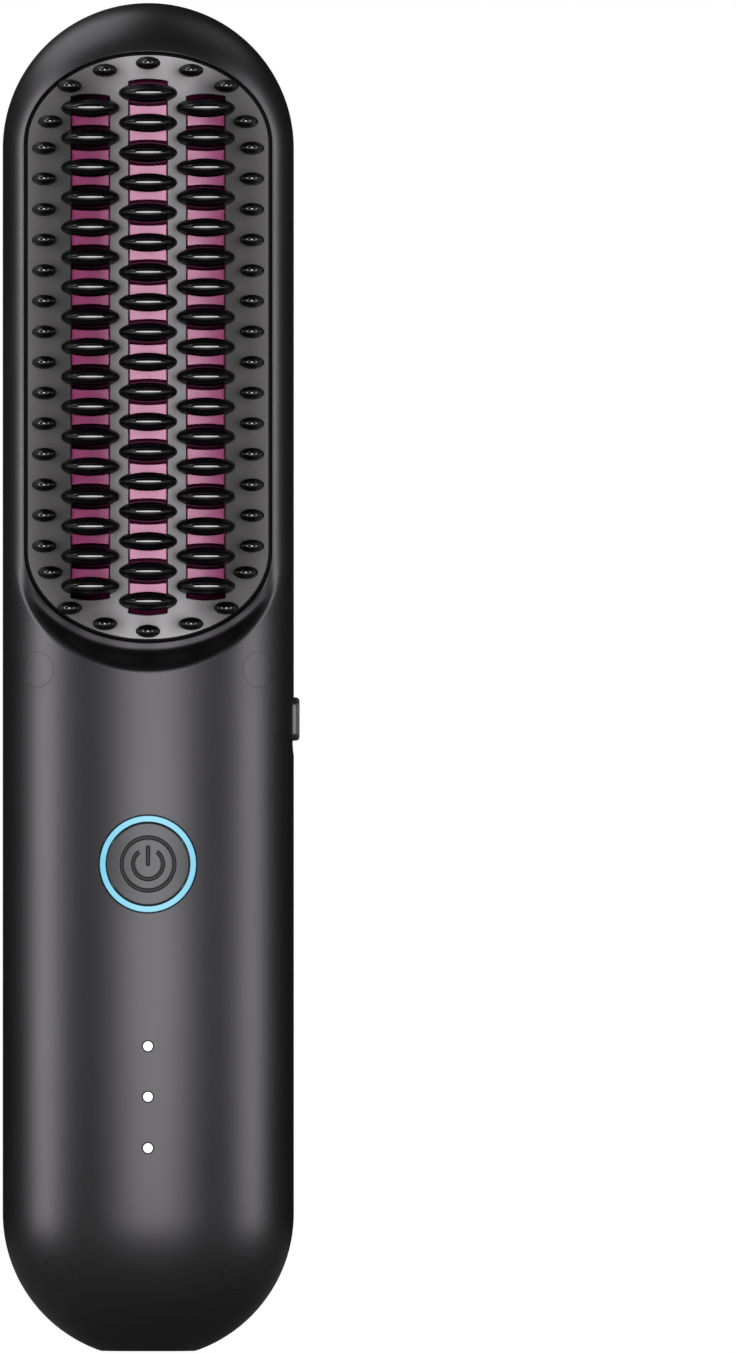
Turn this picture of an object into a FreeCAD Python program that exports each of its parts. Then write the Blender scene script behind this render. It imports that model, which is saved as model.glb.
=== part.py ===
# Cordless hair straightening brush: a squashed capsule in two shells, with a heated
# bristle field let into the upper front, a power button with a light ring, three status
# lights and a travel lock slider. Millimetres, +Z up the handle, bristles towards -Y,
# +X on the lock slider's side, origin at the middle of the flat foot.
import FreeCAD, Part
import math
import os
from FreeCAD import Vector

# Body: overall form, wall and the joint between the two shells
overall_height = 200.0
body_width = 43.2
body_depth = 29.2
foot_width = 14.0
wall = 2.0
seam_gap = 0.2
tongue_depth = 1.2
shell_fit = 0.1
overrun = 5.0

# Brush head: oval seam, crowned plate and the scoop that leads into the handle
head_centre = 148.9
seam_half_width = 18.06
seam_half_length = 43.5
oval_end_rise = 13.35
seam_width = 0.46
plate_height = 9.8
crown_sagitta = 3.3
plate_thickness = 1.5
carrier_layer = 1.2
rim_height = 0.5
rim_width = 1.2
rim_slope = 0.25
scoop_width = 4.9
scoop_height = 5.0
scoop_wall = 2.4
ledge_width = 1.6
ledge_thickness = 1.2
seat_wall = 2.0
gasket_recess = 0.4
part_fit = 0.1

# Teeth: three columns of heated fins under black arched caps
tooth_pitch = 4.43
tooth_width = 8.45
tooth_thickness = 2.6
tooth_root_thickness = 2.9
tooth_tip_height = 26.7
column_spacing = 8.56
centre_teeth = 18
side_teeth = 17
strip_width = 5.6
strip_recess = 0.25
strip_chamfer = 0.45
slot_gap = 0.15
fin_height_share = 0.72
fin_fit = 0.05
tooth_height_shares = (0.70, 0.84, 0.94, 0.985, 1.0)
tooth_width_shares = (1.0, 0.96, 0.83, 0.66, 0.50)
tooth_thickness_shares = (1.0, 0.83, 0.55, 0.30, 0.12)
notch_gap = 0.12
strip_overhang = 2.0
strip_bow = 0.35
fin_blade_thickness = 1.3
fin_root_height = 1.0
fin_foot_half_width = 6.2
fin_foot_half_thickness = 1.85
fin_foot_height = 0.5
comb_half_width = 4.15

# Outer bristles on their ring
bristle_width = 3.4
bristle_thickness = 1.7
bristle_tip_height = 25.2
bristle_column_x = 15.4
bristle_end_inset = 0.9
bristle_end_step = 3.93
bristle_pitch = 4.537
side_bristles = 14
bristle_end_reach = 42.1
end_bristle_x_shares = (0.0, 0.415, 0.755)
end_bristle_z_shares = (1.0, 0.974, 0.919)
bristle_height_shares = (0.94, 0.98, 1.0)
bristle_taper_shares = (1.0, 0.80, 0.40)
bristle_gap = 0.12
ring_side_inset = 4.5
ring_end_inset = 2.8
pillar_diameter = 3.4
pillar_x = 14.6
pillar_z_shares = (-0.70, -0.24, 0.24, 0.70)

# Heating: flanged bars on ceramic heaters in a moulded carrier
bar_flange_width = 7.2
bar_flange_top = 5.4
bar_flange_thickness = 1.2
bar_flange_inset = 3.0
heater_width = 6.0
heater_thickness = 1.3
heater_half_length = 28.0
carrier_underside = 1.2
carrier_flange_inset = 0.5
pocket_gap = 0.1
pillar_floor = 2.6
insulation_thickness = 0.5
insulation_half_width = 11.5
insulation_half_length = 32.0
sensor_length = 4.0
sensor_width = 2.4
sensor_offset = 31.0
fuse_diameter = 1.3
fuse_length = 6.0

# Power button, its light ring, tact switch and ring lights
button_z = 72.3
button_diameter = 12.2
ring_outer_diameter = 14.2
ring_inner_diameter = 12.5
ring_underside = 12.6
ring_fit = 0.04
button_skirt = 12.0
button_roof = 12.9
button_bore = 10.0
button_stem_diameter = 4.0
button_travel = 0.45
tab_width = 3.0
tab_reach = 6.9
tab_thickness = 0.5
tact_size = 4.5
tact_height = 1.2
plunger_diameter = 1.8
plunger_height = 1.05
plunger_fit = 0.1
ring_light_radius = 6.7
ring_light_angles = (30.0, 150.0, 210.0, 330.0)
light_length = 1.6
light_width = 0.8
light_height = 0.6

# Status lights
status_z = (45.3, 37.8, 30.2)
status_diameter = 1.6
status_fit = 0.04
status_bar_width = 3.0
status_bar_front = 12.5
status_bar_back = 11.4
status_bar_end = 1.8

# Travel lock slider and its switch
slot_bottom = 88.4
slot_top = 97.1
slot_width = 3.6
knob_length = 6.45
knob_width = 2.8
knob_proud = 0.85
lock_travel = 2.0
lock_clearance = 0.12
lock_plate_length = 11.6
lock_plate_width = 6.0
lock_plate_outer = 18.7
lock_plate_inner = 17.9
switch_length = 8.6
switch_width = 3.7
switch_inner = 13.4
switch_outer = 16.9
lever_length = 1.4
lever_width = 1.2
lever_root = 15.5
lever_gap = 0.25

# Battery, boards and charging socket
cell_diameter = 21.2
cell_length = 70.2
cell_bottom = 18.0
cell_back_offset = 1.7
cell_groove_depth = 0.5
cell_groove_height = 1.6
cell_shoulder = 4.0
cell_cap_diameter = 8.0
cell_cap_height = 0.6
cell_bore_gap = 0.3
tab_strip_width = 5.0
tab_strip_thickness = 0.3
tab_strip_leg = 2.5
board_back = 9.6
board_thickness = 1.0
board_half_width = 9.0
board_bottom = 12.5
board_top = 95.0
board_edge_gap = 0.4
pad_half_width = 5.0
pad_bottom = 32.0
pad_top = 78.0
socket_width = 8.94
socket_height = 3.26
socket_wall = 0.3
socket_length = 7.3
socket_recess = 0.4
socket_gap = 0.2
socket_tongue_width = 6.7
socket_tongue_thickness = 0.7
socket_tongue_setback = 0.8
socket_back_wall = 1.2
charge_board_half_width = 6.8
charge_board_thickness = 1.0
charge_board_bottom = 3.2
charge_board_top = 15.5

# Chassis, screws, plugs and wires
chassis_gap = 0.3
chassis_bottom = 8.0
foot_block_top = 17.4
neck_block_bottom = 98.2
chassis_top = 103.6
block_front = 5.0
cradle_wall = 1.5
rib_thickness = 1.6
rib_heights = (34.0, 53.0, 72.0)
bracket_thickness = 1.4
bracket_half_width = 4.0
bracket_bottom = 82.0
lock_relief = 0.5
wire_hole_half_width = 4.6
wire_hole_depth = 5.2
plug_diameter = 5.2
plug_thickness = 1.0
plug_fit = 0.06
upper_plug_x = 16.3
upper_plug_z = 101.1
lower_plug_x = 13.4
lower_plug_z = 11.6
boss_diameter = 7.2
boss_depth = 5.8
screw_head_diameter = 3.6
screw_head_height = 1.2
screw_diameter = 1.9
screw_length = 8.0
screw_hole_gap = 0.15
screw_socket_diameter = 1.5
screw_socket_depth = 0.7
frame_screw_x = 15.2
frame_screw_z = (27.0, 79.0)
frame_boss_diameter = 5.2
frame_boss_top = 3.0
frame_lug_thickness = 2.0
frame_screw_length = 6.0
wire_diameter = 1.2
wire_bend = 2.5
heater_lead_x = 2.5
heater_lead_z = 112.5
heater_lead_drop = 1.5
heater_lead_board_z = 92.5
charge_lead_x = 5.9
charge_lead_z = 14.2
switch_lead_z = (90.6, 94.6)
switch_lead_x = 14.6
switch_lead_front = 5.2
switch_lead_board_x = 7.6

# Values that follow from the ones above
half_width = body_width / 2
half_depth = body_depth / 2
foot_centre = math.sqrt(half_width ** 2 - (foot_width / 2) ** 2)
top_centre = overall_height - half_width
straight_half = seam_half_length - oval_end_rise
crown_radius = (seam_half_width ** 2 + crown_sagitta ** 2) / (2 * crown_sagitta)
crown_axis_y = crown_radius - plate_height
ring_depth = plate_thickness + carrier_layer
ledge_depth = ring_depth + part_fit
fin_top = plate_height + fin_height_share * (tooth_tip_height - plate_height)
board_front = board_back + board_thickness
cell_radius = cell_diameter / 2
knob_centre = slot_top - lock_clearance - knob_length / 2
columns = {
    "left": (-column_spacing, side_teeth),
    "centre": (0, centre_teeth),
    "right": (column_spacing, side_teeth),
}


def slab(x0, x1, front0, front1, z0, z1):
    """Box between two widths, two heights towards the front and two levels."""
    corner = Vector(x0, -front1, z0)
    return Part.makeBox(x1 - x0, front1 - front0, z1 - z0, corner)


def rod(radius, start, end):
    """Cylinder from one point to another."""
    run = end - start
    return Part.makeCylinder(radius, run.Length, start, run)


def front_rod(radius, x, z, front0, front1):
    """Cylinder along the front direction between two heights."""
    return rod(radius, Vector(x, -front0, z), Vector(x, -front1, z))


def body_form(inset):
    """Capsule drawn in by inset, squashed front to back and cut flat at the foot."""
    radius = half_width - inset
    reach = radius * math.sqrt(2) / 2
    pole = Vector(0, 0, foot_centre - radius)
    low_mid = Vector(reach, 0, foot_centre - reach)
    low = Vector(radius, 0, foot_centre)
    high = Vector(radius, 0, top_centre)
    high_mid = Vector(reach, 0, top_centre + reach)
    top = Vector(0, 0, top_centre + radius)
    edges = [
        Part.Arc(pole, low_mid, low).toShape(),
        Part.LineSegment(low, high).toShape(),
        Part.Arc(high, high_mid, top).toShape(),
        Part.LineSegment(top, pole).toShape(),
    ]
    round_form = Part.Face(Part.Wire(edges)).revolve(Vector(0, 0, 0), Vector(0, 0, 1), 360)
    squash = FreeCAD.Matrix()
    squash.scale(1, (half_depth - inset) / radius, 1)
    side = half_width + overrun
    return round_form.transformGeometry(squash).cut(slab(-side, side, -side, side, -side, inset))


def half_space(front0, front1):
    """Slab over the whole body between two heights towards the front."""
    side = half_width + overrun
    return slab(-side, side, front0, front1, -overrun, overall_height + overrun)


def oval_wire(half_wide, rise):
    """Oval in the XZ plane: straight sides closed by two half ellipses."""
    edges = []
    for sense in (1, -1):
        middle = Vector(0, 0, head_centre + sense * straight_half)
        side = Vector(sense * half_wide, 0, middle.z)
        ellipse = Part.Ellipse(side, middle + Vector(0, 0, sense * rise), middle)
        edges.append(Part.LineSegment(Vector(side.x, 0, 2 * head_centre - side.z), side).toShape())
        edges.append(Part.ArcOfEllipse(ellipse, 0, math.pi).toShape())
    return Part.Wire(edges)


def grown_oval(grow):
    return oval_wire(seam_half_width + grow, oval_end_rise + grow)


def prism(wire, front0, front1):
    """Solid on a wire of the XZ plane between two heights towards the front."""
    face = Part.Face(wire)
    face.translate(Vector(0, -front0, 0))
    return face.extrude(Vector(0, front0 - front1, 0))


def crown(depth):
    """Cylinder under the crowned plate surface, sunk by depth."""
    reach = seam_half_length + half_width
    base = Vector(0, crown_axis_y, head_centre - reach)
    return Part.makeCylinder(crown_radius - depth, 2 * reach, base, Vector(0, 0, 1))


def crown_front(x):
    """Height of the plate surface towards the front at a width x."""
    return math.sqrt(crown_radius ** 2 - x ** 2) - crown_axis_y


def layer(wire, depth0, depth1):
    """Sheet on a wire of the XZ plane between two depths under the plate surface."""
    blank = prism(wire, 0, plate_height + overrun)
    return blank.common(crown(depth0)).cut(crown(depth1))


def seam_loop(out, forward):
    """Closed loop beside the seam, moved outwards and raised above the plate surface."""
    steps = 24
    side_front = crown_front(seam_half_width) + forward

    def end_arc(sense):
        points = []
        angles = [math.pi * step / steps for step in range(steps + 1)]
        for angle in angles:
            wide = seam_half_width * math.cos(angle)
            rise = oval_end_rise * math.sin(angle)
            square = Vector(math.cos(angle) / seam_half_width, 0, math.sin(angle) / oval_end_rise)
            square.normalize()
            x = sense * (wide + out * square.x)
            z = head_centre + sense * (straight_half + rise + out * square.z)
            points.append(Vector(x, -crown_front(wide) - forward, z))
        curve = Part.BSplineCurve()
        speed = oval_end_rise + out * seam_half_width / oval_end_rise
        along = Vector(0, 0, sense * speed)
        curve.interpolate(Points=points, Parameters=angles, InitialTangent=along,
                          FinalTangent=-along, Scale=False)
        return curve.toShape()

    side = seam_half_width + out
    high = head_centre + straight_half
    low = head_centre - straight_half
    right = Part.LineSegment(Vector(side, -side_front, low), Vector(side, -side_front, high))
    left = Part.LineSegment(Vector(-side, -side_front, high), Vector(-side, -side_front, low))
    return Part.Wire([right.toShape(), end_arc(1), left.toShape(), end_arc(-1)])


def seam_ring(curved, straight):
    """Ring solid round the seam: a smooth skin through the curved loops and flat bands
    through the straight ones, each loop given as (outwards, above the plate)."""
    skin_loops = [seam_loop(out, forward) for out, forward in curved]
    band_loops = [seam_loop(out, forward) for out, forward in straight]
    faces = []
    if len(skin_loops) > 1:
        faces += Part.makeLoft(skin_loops, False, False).Faces
    bands = skin_loops[-1:] + band_loops + (skin_loops or band_loops)[:1]
    for first, second in zip(bands, bands[1:]):
        faces += Part.makeLoft([first, second], False, True).Faces
    shell = Part.Shell(faces)
    shell.sewShape()
    return Part.Solid(shell)


def polygon(points):
    return Part.makePolygon(points + points[:1])


def surface_point(x, z):
    """Point on the front of the body and the outward normal there."""
    drop = min(z - foot_centre, 0)
    level = math.sqrt(1 - (drop / half_width) ** 2)
    front = half_depth * math.sqrt(level ** 2 - (x / half_width) ** 2)
    normal = Vector(x / half_width ** 2, -front / half_depth ** 2, drop / half_width ** 2)
    return Vector(x, -front, z), normal.normalize()


def screw(seat, into, length):
    """Pan head screw with a hex socket; seat is the plane under its head."""
    head = rod(screw_head_diameter / 2, seat - into * screw_head_height, seat)
    shank = rod(screw_diameter / 2, seat, seat + into * length)
    recess_start = seat - into * screw_head_height
    recess = rod(screw_socket_diameter / 2, recess_start, recess_start + into * screw_socket_depth)
    return head.fuse(shank).cut(recess).removeSplitter()


def wire_tube(points):
    """Insulated wire along straight runs joined by tangent arcs."""
    edges = []
    start = points[0]
    for before, corner, after in zip(points, points[1:], points[2:]):
        inward = (before - corner).normalize()
        outward = (after - corner).normalize()
        half_turn = inward.getAngle(outward) / 2
        run = wire_bend / math.tan(half_turn)
        bisector = (inward + outward).normalize()
        middle = corner + bisector * (wire_bend / math.sin(half_turn) - wire_bend)
        arc_start = corner + inward * run
        arc_end = corner + outward * run
        edges.append(Part.LineSegment(start, arc_start).toShape())
        edges.append(Part.Arc(arc_start, middle, arc_end).toShape())
        start = arc_end
    edges.append(Part.LineSegment(start, points[-1]).toShape())
    circle = Part.Circle(points[0], points[1] - points[0], wire_diameter / 2)
    section = Part.Wire([circle.toShape()])
    return Part.Wire(edges).makePipeShell([section], True, False)


outer_form = body_form(0)
inner_form = body_form(wall)
chassis_form = body_form(wall + chassis_gap)


# Screws under flush plugs: axes square to the body surface, alike on both sides
plug_axes = []
for side in (1, -1):
    plug_axes.append(surface_point(side * upper_plug_x, upper_plug_z))
    plug_axes.append(surface_point(side * lower_plug_x, lower_plug_z))
head_sink = plug_thickness + screw_head_height + part_fit


def along_plug(radius, start_depth, end_depth):
    """Cylinders on all the plug axes between two depths under the body surface."""
    return [rod(radius, point - normal * start_depth, point - normal * end_depth)
            for point, normal in plug_axes]


# Scoop: a low rim round the seam, a hollow wall and a rounded shoulder into the handle
rim_out = seam_width / 2
scoop_start = rim_out + rim_width
scoop_steps = 8
scoop_curve = []
for step in range(scoop_steps + 1):
    share = step / scoop_steps
    swell = share ** 2 * (3 - 2 * share)
    scoop_curve.append((scoop_start + share * (scoop_width - scoop_start),
                        rim_height + rim_slope + swell * (scoop_height - rim_height - rim_slope)))
clear_top = scoop_height + half_depth
scoop_cut = seam_ring(scoop_curve, [
    (scoop_width, clear_top),
    (-rim_out, clear_top),
    (-rim_out, rim_height),
    (rim_out, rim_height),
])
seat = prism(grown_oval(rim_out + seat_wall), 0, half_depth + overrun)
seat = seat.cut(prism(grown_oval(-ledge_width), 0, half_depth + overrun))
seat = seat.common(outer_form).cut(crown(ledge_depth + ledge_thickness))
scoop_back = prism(grown_oval(scoop_width + scoop_wall / 2), 0, half_depth + overrun)
scoop_back = scoop_back.common(outer_form).cut(crown(scoop_wall - rim_height))
opening = prism(grown_oval(rim_out), 0, half_depth + overrun).cut(crown(ledge_depth))

# Openings in the handle
button_hole = front_rod(ring_outer_diameter / 2 + ring_fit, 0, button_z, board_front, half_depth + overrun)
status_holes = [front_rod(status_diameter / 2 + status_fit, 0, z, board_front, half_depth + overrun)
                for z in status_z]
slot_end = slot_width / 2
slot_core = slab(wall, half_width + overrun, -slot_end, slot_end,
                 slot_bottom + slot_end, slot_top - slot_end)
slot_round = [rod(slot_end, Vector(wall, 0, z), Vector(half_width + overrun, 0, z))
              for z in (slot_bottom + slot_end, slot_top - slot_end)]
lock_slot = slot_core.fuse(slot_round)
mouth_half = socket_width / 2 + socket_gap
mouth_round = socket_height / 2 + socket_gap
mouth_core = slab(-mouth_half + mouth_round, mouth_half - mouth_round, -mouth_round, mouth_round,
                  -overrun, foot_block_top)
mouth_ends = [rod(mouth_round, Vector(x, 0, -overrun), Vector(x, 0, foot_block_top))
              for x in (mouth_round - mouth_half, mouth_half - mouth_round)]
socket_mouth = mouth_core.fuse(mouth_ends)

# Front shell: front half with the groove, the scooped head and its screw bosses
groove = body_form(wall / 2).common(half_space(-seam_gap, tongue_depth + shell_fit))
bosses = [boss.common(outer_form) for boss in along_plug(boss_diameter / 2, -overrun, boss_depth)]
front_shell = outer_form.common(half_space(seam_gap / 2, half_depth + overrun)).cut(inner_form).cut(groove)
front_shell = front_shell.fuse([seat, scoop_back] + bosses)
plug_seats = []
for point, normal in plug_axes:
    seat_radius = plug_diameter / 2 + plug_fit
    plug_seats.append(rod(seat_radius, point + normal * overrun, point - normal * plug_thickness))
head_bores = along_plug(screw_head_diameter / 2 + screw_hole_gap, 0, head_sink)
shank_bores = along_plug(screw_diameter / 2 + screw_hole_gap, 0, boss_depth + overrun)
front_shell = front_shell.cut([scoop_cut, opening])
front_shell = front_shell.cut(plug_seats + head_bores + shank_bores)
front_shell = front_shell.cut([button_hole, lock_slot, socket_mouth] + status_holes)

# Rear shell: rear half with the tongue and the bosses that take the chassis screws
tongue = body_form(wall / 2 + shell_fit).common(half_space(-half_depth - overrun, tongue_depth))
rear_half = outer_form.common(half_space(-half_depth - overrun, -seam_gap / 2))
rear_shell = rear_half.fuse(tongue).cut(inner_form)
frame_screw_axes = [Vector(side * frame_screw_x, 0, z) for side in (1, -1) for z in frame_screw_z]
rear_bosses = []
rear_pilots = []
for axis in frame_screw_axes:
    boss = front_rod(frame_boss_diameter / 2, axis.x, axis.z, -half_depth, -frame_boss_top)
    rear_bosses.append(boss.common(outer_form))
    pilot_end = frame_boss_top + frame_screw_length
    rear_pilots.append(front_rod(screw_diameter / 2, axis.x, axis.z, -pilot_end, -frame_boss_top))
rear_shell = rear_shell.fuse(rear_bosses).cut(rear_pilots).cut([lock_slot, socket_mouth])

# Flush screw plugs and the screws beneath them
plugs = [plug.common(outer_form) for plug in along_plug(plug_diameter / 2, -overrun, plug_thickness)]
shell_screws = [screw(point - normal * head_sink, -normal, screw_length) for point, normal in plug_axes]

# Brush plate: crowned oval sheet with a slot per column and a hole per bristle


def column_box(x, half_wide, front0, front1):
    """Upright box round one tooth column, as long as the head."""
    return slab(x - half_wide, x + half_wide, front0, front1,
                head_centre - seam_half_length, head_centre + seam_half_length)


def teeth_reach(count):
    """Distance from the middle of the head to the last tooth of a column."""
    return (count - 1) / 2 * tooth_pitch


def column_wire(x, count, half_wide, grow):
    """Outline of a column in the XZ plane: straight sides past the last teeth, bowed ends."""
    reach = teeth_reach(count) + strip_overhang + grow
    edges = []
    for sense in (1, -1):
        first = Vector(x + sense * half_wide, 0, head_centre + sense * (reach - strip_bow))
        middle = Vector(x, 0, head_centre + sense * reach)
        last = Vector(x - sense * half_wide, 0, first.z)
        edges.append(Part.LineSegment(Vector(first.x, 0, 2 * head_centre - first.z), first).toShape())
        edges.append(Part.Arc(first, middle, last).toShape())
    return Part.Wire(edges)


def ellipse_wire(x, z, half_wide, half_thick, front):
    """Ellipse at a height, wide across the brush and thin along it."""
    middle = Vector(x, -front, z)
    outline = Part.Ellipse(middle + Vector(half_wide, 0, 0), middle + Vector(0, 0, half_thick), middle)
    return Part.Wire([outline.toShape()])


def tooth_places(count):
    return [head_centre - teeth_reach(count) + index * tooth_pitch for index in range(count)]


bristle_places = []
side_reach = (side_bristles - 1) / 2 * bristle_pitch
for side in (1, -1):
    for index in range(side_bristles):
        bristle_places.append((side * bristle_column_x, head_centre - side_reach + index * bristle_pitch))
    for end in (1, -1):
        bristle_places.append((side * (bristle_column_x - bristle_end_inset),
                               head_centre + end * (side_reach + bristle_end_step)))
    for x_share, z_share in zip(end_bristle_x_shares, end_bristle_z_shares):
        reach = z_share * bristle_end_reach
        bristle_places.append((x_share * bristle_column_x, head_centre + side * reach))
        if x_share > 0:
            bristle_places.append((-x_share * bristle_column_x, head_centre + side * reach))


def bristle_wire(x, z, front, size, grow):
    """Ellipse of a bristle's section at a height, shrunk by size and grown by a gap."""
    wide = size * bristle_width / 2 + grow
    return ellipse_wire(x, z, wide, size * bristle_thickness / 2 + grow, front)


plate_holes = []
for x, count in columns.values():
    slot = prism(column_wire(x, count, strip_width / 2 + slot_gap, slot_gap), 0, half_depth)
    notches = []
    for z in tooth_places(count):
        wide = tooth_width / 2 + notch_gap
        thick = tooth_root_thickness / 2 + notch_gap
        notches.append(Part.Face(ellipse_wire(x, z, wide, thick, 0)).extrude(Vector(0, -half_depth, 0)))
    plate_holes.append(slot.fuse(notches))
for x, z in bristle_places:
    hole = Part.Face(bristle_wire(x, z, 0, 1, bristle_gap))
    plate_holes.append(hole.extrude(Vector(0, -half_depth, 0)))
brush_plate = layer(grown_oval(-rim_out), 0, plate_thickness).cut(plate_holes)

# Gasket: black ring that fills the seam between plate and shell
gasket_half = seam_width / 2 - part_fit / 2
plate_gasket = seam_ring([], [
    (-gasket_half, -plate_thickness),
    (gasket_half, -plate_thickness),
    (gasket_half, -gasket_recess),
    (-gasket_half, -gasket_recess),
])

# Tooth form: oval section, thicker at its root, closing to a rounded ridge at the tip


def tooth_form(x):
    """One tooth on the column at x, at the middle of the head."""
    half_wide = tooth_width / 2
    rise = tooth_tip_height - plate_height
    wires = [ellipse_wire(x, head_centre, half_wide, tooth_root_thickness / 2, carrier_underside)]
    wires.append(ellipse_wire(x, head_centre, half_wide, tooth_root_thickness / 2, plate_height))
    for height, wide, thick in zip(tooth_height_shares, tooth_width_shares, tooth_thickness_shares):
        front = plate_height + height * rise
        wires.append(ellipse_wire(x, head_centre, wide * half_wide, thick * tooth_thickness / 2, front))
    return Part.makeLoft(wires, True, True)


def at_places(shape, count):
    """Copies of a shape made at the middle of the head, one per tooth of a column."""
    copies = []
    for z in tooth_places(count):
        copy = shape.copy()
        copy.translate(Vector(0, 0, z - head_centre))
        copies.append(copy)
    return copies


# Combs: black arched caps on two rails under the plate, one comb per column
combs = {}
for name, (x, count) in columns.items():
    strip_half = strip_width / 2 + slot_gap
    cap = tooth_form(x).cut(crown(ring_depth)).cut(column_box(x, strip_width / 2, 0, fin_top))
    rails = layer(column_wire(x, count, comb_half_width, 0), plate_thickness, ring_depth)
    rails = rails.cut(column_box(x, strip_half, 0, plate_height))
    combs[name] = rails.fuse(at_places(cap, count))

# Heater bars: flanged strip with a blade inside each cap, every other one on a wider foot


def bar_half_length(count):
    return teeth_reach(count) + strip_overhang - bar_flange_inset


bars = {}
for name, (x, count) in columns.items():
    half = strip_width / 2
    strip_blank = prism(column_wire(x, count, half, 0), bar_flange_top, half_depth)
    strip = strip_blank.common(crown(strip_recess))
    edge_top = crown_front(x) - strip_recess
    for side in (1, -1):
        edge = x + side * half
        lowered = min(edge_top, crown_front(edge) - strip_recess)
        bevel = polygon([
            Vector(edge - side * strip_chamfer, -lowered, 0),
            Vector(edge - side * strip_chamfer, -lowered - overrun, 0),
            Vector(edge + side * strip_chamfer, -lowered - overrun, 0),
            Vector(edge + side * strip_chamfer, -lowered + 2 * strip_chamfer, 0),
        ])
        strip = strip.cut(Part.Face(bevel).extrude(Vector(0, 0, overall_height)))
    fin_root = tooth_form(x).common(crown(-fin_root_height))
    blade_wire = ellipse_wire(x, head_centre, tooth_width / 2, fin_blade_thickness / 2, bar_flange_top)
    blade = Part.Face(blade_wire).extrude(Vector(0, -fin_top, 0))
    fin = fin_root.fuse(blade).common(column_box(x, half - fin_fit, bar_flange_top, fin_top - fin_fit))
    foot_wire = ellipse_wire(x, head_centre, fin_foot_half_width, fin_foot_half_thickness, bar_flange_top)
    foot = Part.Face(foot_wire).extrude(Vector(0, -half_depth, 0))
    foot = foot.common(crown(strip_recess - fin_foot_height))
    foot = foot.common(column_box(x, half - fin_fit, 0, half_depth))
    flange = slab(x - bar_flange_width / 2, x + bar_flange_width / 2,
                  bar_flange_top - bar_flange_thickness, bar_flange_top,
                  head_centre - bar_half_length(count), head_centre + bar_half_length(count))
    bars[name] = strip.fuse([flange] + at_places(fin, count) + at_places(foot, count)[1::2])

# Bristle ring: the outer bristles on an oval ring under the plate edge, with screw pillars
ring_inner = oval_wire(seam_half_width - ring_side_inset, oval_end_rise - ring_end_inset)
ring_blank = layer(grown_oval(-rim_out - part_fit), plate_thickness, ring_depth)
ring_blank = ring_blank.cut(prism(ring_inner, 0, plate_height + overrun))
for x, count in columns.values():
    comb_space = column_wire(x, count, tooth_width / 2 + notch_gap, part_fit)
    ring_blank = ring_blank.cut(prism(comb_space, 0, plate_height))
bristles = []
for x, z in bristle_places:
    root = crown_front(bristle_column_x + bristle_width) - ring_depth
    rise = bristle_tip_height - plate_height
    wires = [bristle_wire(x, z, root, 1, 0)]
    for height, size in zip(bristle_height_shares, bristle_taper_shares):
        wires.append(bristle_wire(x, z, plate_height + height * rise, size, 0))
    bristles.append(Part.makeLoft(wires, True, True).cut(crown(ring_depth - part_fit)))
pillar_places = [(side * pillar_x, head_centre + share * straight_half)
                 for side in (1, -1) for share in pillar_z_shares]
pillar_top = crown_front(pillar_x + pillar_diameter / 2) - plate_thickness - part_fit
pillars = []
pillar_pilots = []
for x, z in pillar_places:
    pillars.append(front_rod(pillar_diameter / 2, x, z, pillar_floor, pillar_top))
    pillar_pilots.append(front_rod(screw_diameter / 2, x, z, 0, pillar_top - part_fit))
bristle_ring = ring_blank.fuse(pillars).fuse(bristles).cut(pillar_pilots)

# Heater carrier: moulded tray that clamps the ring to the ledge and holds bars and heaters
heater_back = bar_flange_top - bar_flange_thickness - heater_thickness
carrier = prism(grown_oval(-ledge_width - part_fit), carrier_underside, half_depth)
carrier = carrier.common(crown(ring_depth))
carrier_flange = prism(grown_oval(-carrier_flange_inset), carrier_underside, half_depth)
carrier = carrier.fuse(carrier_flange.common(crown(ledge_depth + ledge_thickness + part_fit)))
pockets = []
for x, count in columns.values():
    pocket_half = bar_flange_width / 2 + pocket_gap
    pockets.append(slab(x - pocket_half, x + pocket_half, heater_back, half_depth,
                        head_centre - bar_half_length(count) - pocket_gap,
                        head_centre + bar_half_length(count) + pocket_gap))
    strip_space = column_wire(x, count, strip_width / 2 + slot_gap, slot_gap)
    pockets.append(prism(strip_space, bar_flange_top, half_depth))
for x, z in pillar_places:
    pockets.append(front_rod(pillar_diameter / 2 + part_fit, x, z, pillar_floor, half_depth))
    pockets.append(front_rod(screw_diameter / 2 + screw_hole_gap, x, z, 0, half_depth))
heater_carrier = carrier.cut(pockets)
carrier_screws = []
carrier_screw_reach = pillar_top - carrier_underside - 2 * part_fit
for x, z in pillar_places:
    carrier_screws.append(screw(Vector(x, -carrier_underside, z), Vector(0, -1, 0), carrier_screw_reach))

# Ceramic heaters, temperature sensor, thermal fuse and the insulation under the carrier
heaters = []
for x, count in columns.values():
    heaters.append(slab(x - heater_width / 2, x + heater_width / 2,
                        heater_back, heater_back + heater_thickness,
                        head_centre - heater_half_length, head_centre + heater_half_length))
sensor_z = head_centre - sensor_offset
temperature_sensor = slab(-sensor_width / 2, sensor_width / 2, heater_back, heater_back + heater_thickness,
                          sensor_z - sensor_length / 2, sensor_z + sensor_length / 2)
fuse_front = heater_back + heater_thickness - fuse_diameter / 2
thermal_fuse = rod(fuse_diameter / 2, Vector(-column_spacing, -fuse_front, sensor_z - fuse_length / 2),
                   Vector(-column_spacing, -fuse_front, sensor_z + fuse_length / 2))
insulation = slab(-insulation_half_width, insulation_half_width,
                  carrier_underside - insulation_thickness, carrier_underside,
                  head_centre - insulation_half_length, head_centre + insulation_half_length)

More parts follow.
